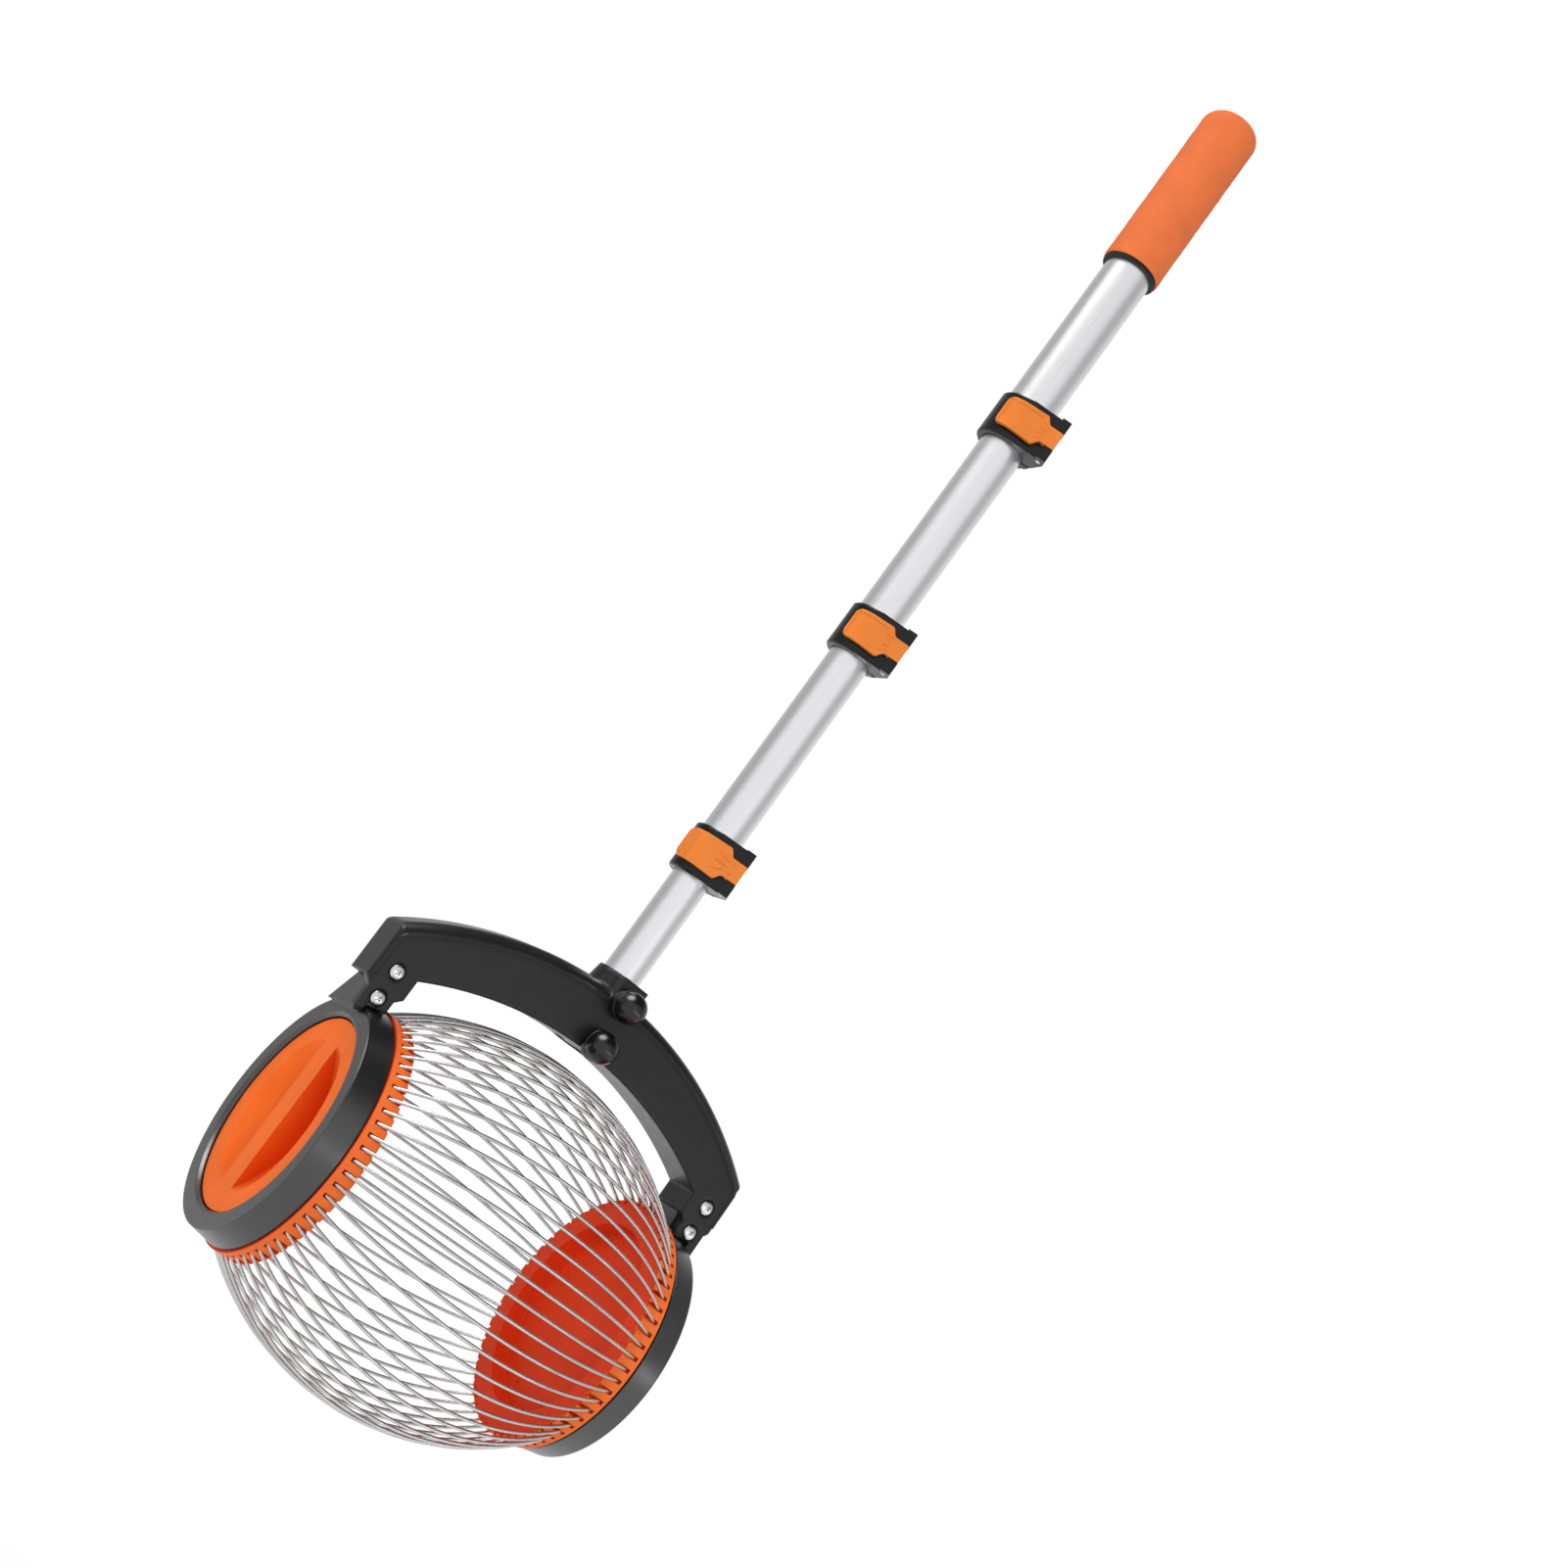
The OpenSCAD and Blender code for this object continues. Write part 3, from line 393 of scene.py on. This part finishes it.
# %% [markdown]
# ## Foam
# The grip is closed-cell foam: matt, slightly mottled, with fine pits. A grain alone would look
# like plastic, so small Voronoi cells make the pits and a soft noise makes the mottling. The
# bottoms of the pits are painted a darker orange, as painted shade.

# %% Group for foam
foam_cells, given, put_out = new_group(
    "foam_cells", [("Colour", "Color"), ("Pit Shade Colour", "Color"), ("Cell Scale", "Float")],
    [("Colour", "Color"), ("Roughness", "Float"), ("Normal", "Vector")])
place = add_node(foam_cells, "ShaderNodeTexCoord").outputs["Object"]
cells = add_node(foam_cells, "ShaderNodeTexVoronoi", {
    "Vector": place, "Scale": given["Cell Scale"]}).outputs["Distance"]
mottles_per_metre, pit_depth = 60.0, 0.00012
cloud = noise(foam_cells, place, mottles_per_metre, 5.0)
# The pits are painted darker: painted shade in them.
pits = spread(foam_cells, cells, 0.35, 0.0, 0.0, 0.35)
mottle = spread(foam_cells, cloud, 0.93, 1.05, *usual_noise)
tinted = shade_colour(foam_cells, given["Colour"], mottle)
coloured = blend_colour(foam_cells, pits, tinted, given["Pit Shade Colour"])
roughness = spread(foam_cells, cloud, 0.62, 0.74)
relief = add_node(foam_cells, "ShaderNodeBump", {
    "Strength": 0.5, "Distance": pit_depth, "Height": cells}).outputs["Normal"]
foam_cells.links.new(coloured, put_out["Colour"])
foam_cells.links.new(roughness, put_out["Roughness"])
foam_cells.links.new(relief, put_out["Normal"])

# %% Make the foam finish
finishes["orange_foam"] = new_material(
    "orange_foam", foam_cells,
    {"Colour": (0.86, 0.19, 0.05, 1), "Pit Shade Colour": (0.7, 0.13, 0.03, 1), "Cell Scale": 1300.0},
    {"Specular IOR Level": 0.3})
put_on(nodes["grip_sleeve"].data, "orange_foam")
print("foam on", nodes["grip_sleeve"].name)

# %% [markdown]
# ## Helpers for modelling
# The next pieces are modelled as by hand. Round ones grow from a circle that is extruded ring by
# ring, as on a potter's wheel. Before each new piece everything is deselected, because an
# operator works on all that is selected.

# %% Modelling helpers
def start_piece(add, **values):
    if bpy.context.object and bpy.context.object.mode != "OBJECT":
        bpy.ops.object.mode_set(mode="OBJECT")
    bpy.ops.object.select_all(action="DESELECT")
    add(**values)
    bpy.ops.object.mode_set(mode="EDIT")
    bpy.ops.mesh.select_all(action="SELECT")
    return bpy.context.object


def turned(name, rings, segments):
    last_r, level = rings[0]
    piece = start_piece(
        bpy.ops.mesh.primitive_circle_add, vertices=segments, radius=last_r,
        location=(0, 0, level))
    piece.name = name
    for radius, height in rings[1:]:
        bpy.ops.mesh.extrude_region_move(
            TRANSFORM_OT_translate={"value": (0, 0, height - level)})
        grow = radius / last_r
        bpy.ops.transform.resize(value=(grow, grow, 1), center_override=(0, 0, height))
        last_r, level = radius, height
    bpy.ops.mesh.edge_face_add()
    bpy.ops.mesh.select_all(action="DESELECT")
    bpy.ops.mesh.select_non_manifold()
    bpy.ops.mesh.edge_face_add()
    bpy.ops.mesh.select_all(action="SELECT")
    bpy.ops.mesh.normals_make_consistent(inside=False)
    bpy.ops.object.mode_set(mode="OBJECT")
    bpy.ops.object.transform_apply(location=True, rotation=True, scale=True)
    return piece


def settle(piece, matrix, body, slot, angle=40):
    piece.matrix_world = matrix @ piece.matrix_world
    bpy.ops.object.select_all(action="DESELECT")
    bpy.context.view_layer.objects.active = piece
    piece.select_set(True)
    bpy.ops.object.transform_apply(location=True, rotation=True, scale=True)
    bpy.ops.object.shade_smooth_by_angle(angle=math.radians(angle))
    put_on(piece.data, slot)
    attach(piece, body)
    print(piece.name, len(piece.data.polygons), "faces on", body)


# %% [markdown]
# ## Foam grip
# A foam sleeve is cut from a tube and pushed on, so its lower edge is rolled, its flank is a
# touch uneven and its top is round. A turned piece with many rings gives room for all three, and
# the outline starts inside, in the bore that the tubes slide up into.

# %% Outline of the grip
low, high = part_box("grip_sleeve")
grip_r = (high.x - low.x) / 2
grip_len = high.z - low.z
tube_low, tube_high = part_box("top_tube")
bore_play, liner_play = 0.0016, 0.0001
bore_r = (tube_high.x - tube_low.x) / 2 + bore_play
bore_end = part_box("grip_liner")[1].z - low.z + liner_play
edge_r = grip_r - 0.0019
flank_start, top_round, top_angle = 0.0014, 0.0095, 88
flank_end = grip_len - top_round
flank_rings, top_rings = 25, 10
rings = [
    (bore_r * 0.2, bore_end), (bore_r, bore_end), (bore_r, 0.0006), (edge_r - 0.0004, 0.0006),
    (edge_r, 0.0), (grip_r - 0.0006, 0.0), (grip_r - 0.00015, 0.0005), (grip_r, flank_start)]
for i in range(1, flank_rings):
    swell = 0.00008 * math.sin(2.4 * i) + 0.00006 * math.sin(0.9 * i + 1)
    level = flank_start + (flank_end - flank_start) * i / flank_rings
    rings.append((grip_r - 0.0001 + swell, level))
for i in range(top_rings + 1):
    a = math.radians(top_angle * i / top_rings)
    rings.append((grip_r - top_round * (1 - math.cos(a)), flank_end + top_round * math.sin(a)))
rings += [((grip_r - top_round) * share, grip_len) for share in (0.6, 0.15)]
print("grip outline with", len(rings), "rings")

# %% Model the grip
grip = turned("foam_grip", rings, 96)
middle = Vector(((low.x + high.x) / 2, (low.y + high.y) / 2, low.z))
settle(grip, Matrix.Translation(middle), "handle", "orange_foam")
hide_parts("grip_sleeve")

# %% [markdown]
# ## Lug screws
# Each leg of the yoke is held by two pan-head screws with a cross recess. The head and shank are
# turned in one piece. The recess is cut by two crossed wedges with a Boolean modifier, because
# cutting it by hand would leave many thin faces on the dome.

# %% Turn one screw
low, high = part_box("left_lug_screws")
head_r = (high.x - low.x) / 2
shank_end = high.y - low.y
head_h = head_r * 0.62
rings = [(head_r * 0.2, -shank_end), (head_r * 0.42, -shank_end + 0.0012),
         (head_r * 0.45, -head_h - 0.0004)]
pan_head = (  # shares of the head's radius and of its height, from the underside to the top
    (0.45, 1.0), (0.97, 1.0), (1.0, 0.9), (1.0, 0.62), (0.95, 0.4), (0.84, 0.2), (0.64, 0.06),
    (0.3, 0.0))
rings += [(head_r * wide, -head_h * down) for wide, down in pan_head]
screw = turned("lug_screw", rings, 48)
print("screw head", round(head_r * 2000, 2), "mm across")

# %% Cut the cross recess
recess_long, recess_wide = head_r * 1.16, head_r * 0.26
for turn_z in (35, 125):
    wedge = start_piece(bpy.ops.mesh.primitive_cube_add, size=1)
    wedge.name = "recess_wedge"
    bpy.ops.transform.resize(value=(recess_long, recess_wide, head_h))
    bpy.ops.mesh.select_all(action="DESELECT")
    bpy.ops.object.mode_set(mode="OBJECT")
    for face in wedge.data.polygons:
        face.select = face.normal.z < -0.9
    bpy.ops.object.mode_set(mode="EDIT")
    bpy.ops.transform.resize(value=(0.45, 0.7, 1), center_override=(0, 0, -head_h / 2))
    bpy.ops.mesh.select_all(action="SELECT")
    bpy.ops.transform.rotate(
        value=math.radians(turn_z), orient_axis="Z", center_override=(0, 0, 0))
    bpy.ops.object.mode_set(mode="OBJECT")
    bpy.context.view_layer.objects.active = screw
    cut = screw.modifiers.new("recess", "BOOLEAN")
    cut.operation = "DIFFERENCE"
    cut.object = wedge
    bpy.ops.object.modifier_apply(modifier="recess")
    bpy.data.objects.remove(wedge)
print("screw with recess,", len(screw.data.polygons), "faces")

# %% Copy the screw to the four lugs
facing_front = Matrix.Rotation(math.radians(90), 4, "X")
for side in ("left", "right"):
    low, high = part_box(side + "_lug_screws")
    for row, height in (("low", low.z + head_r), ("high", high.z - head_r)):
        one = bpy.data.objects.new(f"{side}_{row}_lug_screw", screw.data.copy())
        bpy.context.scene.collection.objects.link(one)
        middle = Vector(((low.x + high.x) / 2, low.y, height))
        settle(one, Matrix.Translation(middle) @ facing_front, "fork", "bright_steel", 30)
        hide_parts(side + "_lug_screws")
bpy.data.objects.remove(screw)

# %% [markdown]
# ## Thumb knobs
# Two knobs clamp the pole in the yoke. Each is a polished ball on a skirt with grip grooves. The
# solid is a plain dome, so the knob is turned again with a rounder ball, and every fourth row of
# points round the skirt is then pulled in, which makes the grooves in one step.

# %% Model one knob
low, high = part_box("upper_knob")
skirt_r = (high.x - low.x) / 2
ball_r, ball_z = 0.0096, 0.0086
ball_from, ball_to, ball_rings = -13, 88, 15
points_round, rows_per_groove, groove_share = 96, 4, 0.93
groove_low, groove_high = 0.0003, 0.0061
rings = [
    (skirt_r - 0.0009, 0.0), (skirt_r - 0.0002, 0.0005), (skirt_r, 0.0012), (skirt_r, 0.0054),
    (skirt_r - 0.0002, 0.006), (skirt_r - 0.0007, 0.0062)]
for i in range(ball_rings + 1):
    a = math.radians(ball_from + (ball_to - ball_from) * i / ball_rings)
    rings.append((ball_r * math.cos(a), ball_z + ball_r * math.sin(a)))
knob = turned("thumb_knob", rings, points_round)
for point in knob.data.vertices:
    row = round(math.degrees(math.atan2(point.co.y, point.co.x)) * points_round / 360)
    point.select = row % rows_per_groove == 0 and groove_low < point.co.z < groove_high
bpy.ops.object.mode_set(mode="EDIT")
bpy.ops.mesh.select_mode(type="VERT")
bpy.ops.transform.resize(value=(groove_share, groove_share, 1), center_override=(0, 0, 0))
bpy.ops.object.mode_set(mode="OBJECT")
pulled_in = sum(point.select for point in knob.data.vertices)
print("knob", round(2000 * ball_r, 1), "mm ball,", pulled_in, "points in the grooves")

# %% Put the knobs on their bolts
for name in ("upper", "lower"):
    low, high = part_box(name + "_knob")
    one = bpy.data.objects.new(name + "_thumb_knob", knob.data.copy())
    bpy.context.scene.collection.objects.link(one)
    middle = Vector(((low.x + high.x) / 2, high.y, (low.z + high.z) / 2))
    place_of_knob = Matrix.Translation(middle) @ facing_front
    settle(one, place_of_knob, name + "_knob_body", "gloss_black", 35)
    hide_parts(name + "_knob")
bpy.data.objects.remove(knob)

# %% [markdown]
# ## Painted shade rings
# A thin black ring lies on the inner face of each end ring, where the hub runs against it. It is
# painted shade: it shows the shade in the gap as a dark line between the bright hub and the ring.
# A rectangle is spun once round the axle, which gives a closed ring.

# %% Model the shade rings
shade_ring_thick, shade_ring_wide, shade_ring_r = 0.0005, 0.0078, 0.0664
merge_distance = 0.00001
for side, sign in (("left", -1), ("right", 1)):
    ring_low, ring_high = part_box(side + "_end_ring")
    inner_x = min(abs(ring_low.x), abs(ring_high.x))
    # A black ring of painted shade in the gap between hub and end ring.
    gap_shade_ring = start_piece(bpy.ops.mesh.primitive_plane_add, size=1)
    gap_shade_ring.name = side + "_washer"
    bpy.ops.transform.resize(value=(shade_ring_thick, shade_ring_wide, 1))
    bpy.ops.transform.translate(value=(sign * (inner_x - shade_ring_thick / 2), shade_ring_r, axle.z))
    bpy.ops.mesh.delete(type="ONLY_FACE")
    bpy.ops.mesh.select_all(action="SELECT")
    bpy.ops.mesh.spin(steps=96, angle=2 * math.pi, center=(0, 0, axle.z), axis=(1, 0, 0))
    bpy.ops.mesh.select_all(action="SELECT")
    bpy.ops.mesh.remove_doubles(threshold=merge_distance)
    bpy.ops.mesh.normals_make_consistent(inside=False)
    bpy.ops.object.mode_set(mode="OBJECT")
    settle(gap_shade_ring, Matrix(), "fork", "black_liner")

# %% [markdown]
# ## Bead round the yoke
# A fine bead frames the front of the yoke: up one leg, along the arch where its top starts to
# round, and down the other leg. It only catches the light, so it isn't in the solid. A curve with
# thickness could follow the path. Here a small circle is extruded up the leg and spun round the
# corner, round the arch and round the second corner, as a wire is bent over formers.

# %% Path of the bead
low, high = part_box("yoke")
arch_r, arch_round, socket_rise = 0.218, 0.0062, 0.0097
bead_r, corner_r = 0.0014, 0.006
bead_sunk, bead_from_side, leg_start = 0.001, 0.0022, 0.0825
bead_y = low.y + bead_sunk
bead_x = high.x - bead_from_side
path_r = arch_r - arch_round
arch_middle = Vector((0, bead_y, high.z - socket_rise - arch_r))
corner_x = bead_x - corner_r
corner_z = arch_middle.z + math.sqrt((path_r - corner_r) ** 2 - corner_x ** 2)
leg_z = axle.z + leg_start
arch_half = math.asin(corner_x / (path_r - corner_r))
print("bead", round(2000 * bead_r, 1), "mm thick,",
      "arch half angle", round(math.degrees(arch_half), 1))

# %% Model the bead
bead = start_piece(
    bpy.ops.mesh.primitive_circle_add, vertices=12, radius=bead_r,
    location=(-bead_x, bead_y, leg_z))
bead.name = "yoke_bead"
bpy.ops.mesh.extrude_region_move(TRANSFORM_OT_translate={"value": (0, 0, corner_z - leg_z)})
corner_angle = math.pi / 2 - arch_half
for centre, angle, steps in (
        ((-corner_x, bead_y, corner_z), corner_angle, 8),
        (arch_middle, 2 * arch_half, 64),
        ((corner_x, bead_y, corner_z), corner_angle, 8)):
    bpy.ops.mesh.spin(steps=steps, angle=-angle, center=centre, axis=(0, 1, 0))
bpy.ops.mesh.extrude_region_move(TRANSFORM_OT_translate={"value": (0, 0, leg_z - corner_z)})
bpy.ops.mesh.select_all(action="SELECT")
bpy.ops.mesh.remove_doubles(threshold=merge_distance)
bpy.ops.mesh.select_all(action="DESELECT")
bpy.ops.mesh.select_non_manifold()
bpy.ops.mesh.edge_face_add()
bpy.ops.mesh.select_all(action="SELECT")
bpy.ops.mesh.normals_make_consistent(inside=False)
bpy.ops.object.mode_set(mode="OBJECT")
settle(bead, Matrix(), "fork", "black_yoke", 50)

# %% [markdown]
# ## Finger ridges on the levers
# The levers have small drop-shaped ridges that give the finger a hold. They could be sculpted on
# the lever, but its solid stays as it is, so each is a piece of its own. It starts as a cube; one
# end is narrowed, and a subdivision surface rounds it. The lowest lever has three long ridges
# that fan out from its neck and two dots beside the pin, the others have short ridges.

# %% Place on a lever
clamp_turn = Matrix.Rotation(math.radians(-28), 4, "Z")
pole_y = sum(corner.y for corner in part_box("top_tube")) / 2
lever_front = 0.0063  # how far a closed lever's face stands off the tube


def lever_face(name, outer_tube, along, across):
    pin_low, pin_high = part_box(name + "_lever_pin")
    tube_low, tube_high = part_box(outer_tube)
    face = (tube_high.x - tube_low.x) / 2 + lever_front
    origin = Matrix.Translation((0, pole_y, (pin_low.z + pin_high.z) / 2)) @ clamp_turn
    return origin @ Vector((along, -face, across))


# %% Make one ridge
lost_in_rounding = (1.15, 1.5, 2.4)  # rounding shrinks the cube by about as much


def finger_ridge(name, lever, outer_tube, start, end, width, height):
    first = lever_face(lever, outer_tube, *start)
    last = lever_face(lever, outer_tube, *end)
    along = (last - first).normalized()
    outward = clamp_turn.to_3x3() @ Vector((0, -1, 0))
    ridge = start_piece(bpy.ops.mesh.primitive_cube_add, size=1)
    ridge.name = name
    size = ((last - first).length, width, height)
    bpy.ops.transform.resize(value=[side * more for side, more in zip(size, lost_in_rounding)])
    bpy.ops.mesh.select_all(action="DESELECT")
    bpy.ops.object.mode_set(mode="OBJECT")
    for face in ridge.data.polygons:
        face.select = face.normal.x > 0.9
    bpy.ops.object.mode_set(mode="EDIT")
    bpy.ops.transform.resize(value=(1, 0.45, 0.7))
    bpy.ops.object.mode_set(mode="OBJECT")
    smooth = ridge.modifiers.new("round", "SUBSURF")
    smooth.levels = smooth.render_levels = 3
    bpy.ops.object.modifier_apply(modifier="round")
    axes = Matrix((along, outward.cross(along), outward)).transposed().to_4x4()
    middle = Matrix.Translation((first + last) / 2)
    settle(ridge, middle @ axes, lever + "_lever_body", "orange_lever", 80)


# %% Ridges of the three levers
for i, (left_z, right_z) in enumerate(((-0.0052, -0.0024), (0, 0), (0.0052, 0.0024))):
    finger_ridge(f"lower_lever_ridge_{i + 1}", "lower", "lower_middle_tube",
                 (0.0035, left_z), (0.0125, right_z), width=0.0016, height=0.0006)
for lever, tube, shift in (("middle", "upper_middle_tube", 0.0), ("upper", "top_tube", 0.0013)):
    for i, z in enumerate((-0.0036, -0.0012, 0.0012, 0.0036)):
        finger_ridge(f"{lever}_lever_ridge_{i + 1}", lever, tube,
                     (0.0088 + shift, z * 1.5), (0.0145 + shift, z), width=0.0011, height=0.0005)

# %% Dots of the lowest lever
dot_along = 0.0152
dot_rings = [(0.0008, -0.0003), (0.0008, 0.0003), (0.00072, 0.00048), (0.0005, 0.0006),
             (0.0002, 0.00064)]
for i, z in enumerate((-0.0026, 0.0026)):
    dot = turned(f"lower_lever_dot_{i + 1}", dot_rings, 24)
    spot = Matrix.Translation(lever_face("lower", "lower_middle_tube", dot_along, z))
    settle(dot, spot @ clamp_turn @ facing_front, "lower_lever_body", "orange_lever", 60)

# %% [markdown]
# ## World
# The tool is shown on white. A plain white world would do alone, but it makes metal look flat.
# So the world is plain white to the camera and dimmer as a light, which lets the lamps model the
# forms, and reflections see a studio: white in front and behind, greyer to the sides and dim
# overhead, with one bright panel hung under the ceiling. That draws the grey bands along a
# polished tube, a bright line with a dark edge along every wire, and the spot on each knob.

# %% Walls of the reflected studio
plain_white = (1, 1, 1, 1)
world = bpy.data.worlds.new("white_studio")
bpy.context.scene.world = world
world.use_nodes = True
tree = world.node_tree
tree.nodes.clear()
way = add_node(tree, "ShaderNodeTexCoord").outputs["Generated"]
to_the_front = (-0.446, -0.895, 0)
frontness = vector_math(tree, "DOT_PRODUCT", way, to_the_front)["Value"]
studio = add_node(tree, "ShaderNodeValToRGB", {0: spread(tree, frontness, 0.0, 1.0, -1.0, 1.0)})
steps = studio.color_ramp.elements
steps[0].color, steps[1].color = (0.9, 0.9, 0.9, 1), plain_white
for spot, grey in ((0.25, 0.78), (0.41, 0.56), (0.64, 0.48), (0.86, 0.98)):
    steps.new(spot).color = (grey, grey, grey, 1)
height = add_node(tree, "ShaderNodeSeparateXYZ", {0: way}).outputs["Z"]
dim_corner = Vector((-0.44, 0.87, 0.2)).normalized()
into_corner = vector_math(tree, "DOT_PRODUCT", way, dim_corner)["Value"]
ceiling_shade = spread(tree, height, 1.0, 0.12, 0.5, 0.8)
corner_shade = spread(tree, into_corner, 1.0, 0.7, 0.72, 0.95)
walls = add_node(tree, "ShaderNodeBackground", {
    "Color": studio.outputs["Color"],
    "Strength": combine(tree, "MULTIPLY", ceiling_shade, corner_shade)})
print("studio walls with", len(steps), "greys")

# %% Bright panel, and which ray sees what
panel_way = Vector((-0.58, 0.07, 0.81)).normalized()
panel_power = 9.0
into_panel = vector_math(tree, "DOT_PRODUCT", way, panel_way)["Value"]
panel = add_node(tree, "ShaderNodeBackground", {
    "Color": plain_white, "Strength": spread(tree, into_panel, 0.0, panel_power, 0.93, 0.965)})
mirrored = add_node(tree, "ShaderNodeAddShader", {0: walls.outputs[0], 1: panel.outputs[0]})
light = add_node(tree, "ShaderNodeBackground", {"Color": plain_white, "Strength": 0.5})
white = add_node(tree, "ShaderNodeBackground", {"Color": plain_white, "Strength": 1.0})
rays = add_node(tree, "ShaderNodeLightPath").outputs
either = add_node(tree, "ShaderNodeMixShader", {
    0: rays["Is Glossy Ray"], 1: light.outputs[0], 2: mirrored.outputs[0]})
clear = combine(tree, "MAXIMUM", rays["Is Camera Ray"], rays["Is Transmission Ray"])
shown = add_node(tree, "ShaderNodeMixShader", {
    0: clear, 1: either.outputs[0], 2: white.outputs[0]})
add_node(tree, "ShaderNodeOutputWorld", {"Surface": shown.outputs[0]})
print("world", world.name, "with", len(tree.nodes), "nodes")

# %% [markdown]
# ## Floor
# A tool that stands on nothing looks cut out, so a pale floor catches its shadow and fades into
# the white further away. A shadow could be painted, but it would stay behind when the cage
# moves. The pole draws out downwards, so the floor lies as low as the cage can reach.

# %% Lay the floor
draw_out = sum(joint["range_m"][0] for joint in frame["joints"] if joint["type"] == "slide")
floor = start_piece(bpy.ops.mesh.primitive_plane_add, size=6, location=(0, 0, draw_out))
bpy.ops.mesh.subdivide(number_cuts=8)
bpy.ops.object.mode_set(mode="OBJECT")
floor.name = "studio_floor"
print("floor at", round(draw_out, 3), "m")

# %% Paper of the floor
paper = bpy.data.materials.new("studio_floor")
paper.use_nodes = True
tree = paper.node_tree
tree.nodes.clear()
place = add_node(tree, "ShaderNodeTexCoord").outputs["Object"]
away = vector_math(tree, "LENGTH", place)["Value"]
fade_from, fade_to = 0.02, 0.3
fade = spread(tree, away, 0.8, 1.0, fade_from, fade_to)
rays = add_node(tree, "ShaderNodeLightPath").outputs
seen = combine(tree, "MAXIMUM", rays["Is Camera Ray"], rays["Is Glossy Ray"])
seen = combine(tree, "MAXIMUM", seen, rays["Is Transmission Ray"])
share = combine(tree, "MULTIPLY", fade, seen)
matt = add_node(tree, "ShaderNodeBsdfDiffuse", {"Color": (0.93, 0.93, 0.93, 1)})
glow = add_node(tree, "ShaderNodeEmission", {"Color": plain_white, "Strength": 1.0})
either = add_node(tree, "ShaderNodeMixShader", {0: share, 1: matt.outputs[0], 2: glow.outputs[0]})
add_node(tree, "ShaderNodeOutputMaterial", {"Surface": either.outputs[0]})
floor.data.materials.append(paper)
print("paper fades out from", fade_from, "to", fade_to, "m")

# %% [markdown]
# ## Lamps
# Large soft boxes give the even light of a product photograph. Point lamps would be simpler, but
# their shadows are hard. The boxes don't show in reflections, because their square outlines would
# be seen on every tube. The low strip is the opposite: it lights nothing and only shows in
# reflections, where it draws a fine line.

# %% Set up the lamps
def soft_box(name, spot, aim, wide, tall, power, only_mirrored=False):
    lamp = bpy.data.lights.new(name, "AREA")
    lamp.shape = "RECTANGLE"
    lamp.size, lamp.size_y, lamp.energy = wide, tall, power
    made = bpy.data.objects.new(name, lamp)
    look = (Vector(aim) - Vector(spot)).to_track_quat("-Z", "Y")
    made.matrix_world = Matrix.Translation(spot) @ look.to_matrix().to_4x4()
    made.visible_glossy = only_mirrored
    made.visible_diffuse = not only_mirrored
    bpy.context.scene.collection.objects.link(made)
    print(name, power, "W")


soft_box("front_box", (-0.85, -1.5, 0.9), (0, 0, 0.4), wide=1.4, tall=1.8, power=11)
soft_box("left_box", (-1.7, -0.1, 0.7), (-0.1, 0, 0.15), wide=0.9, tall=1.2, power=6.5)
soft_box("side_box", (1.5, -0.8, 0.6), (0, 0, 0.2), wide=0.7, tall=1.2, power=3)
soft_box("top_box", (-0.1, 0.4, 2.0), (0, 0, 0.3), wide=1.2, tall=1.2, power=5)
soft_box("low_strip", (0.65, -1.15, 0.08), (0, 0, 0.1), wide=1.5, tall=0.12, power=2.3,
         only_mirrored=True)

# %% [markdown]
# ## Finish
# The view transform is Standard, so colours come out as they were written.

# %% Set the view transform
bpy.context.scene.view_settings.view_transform = "Standard"
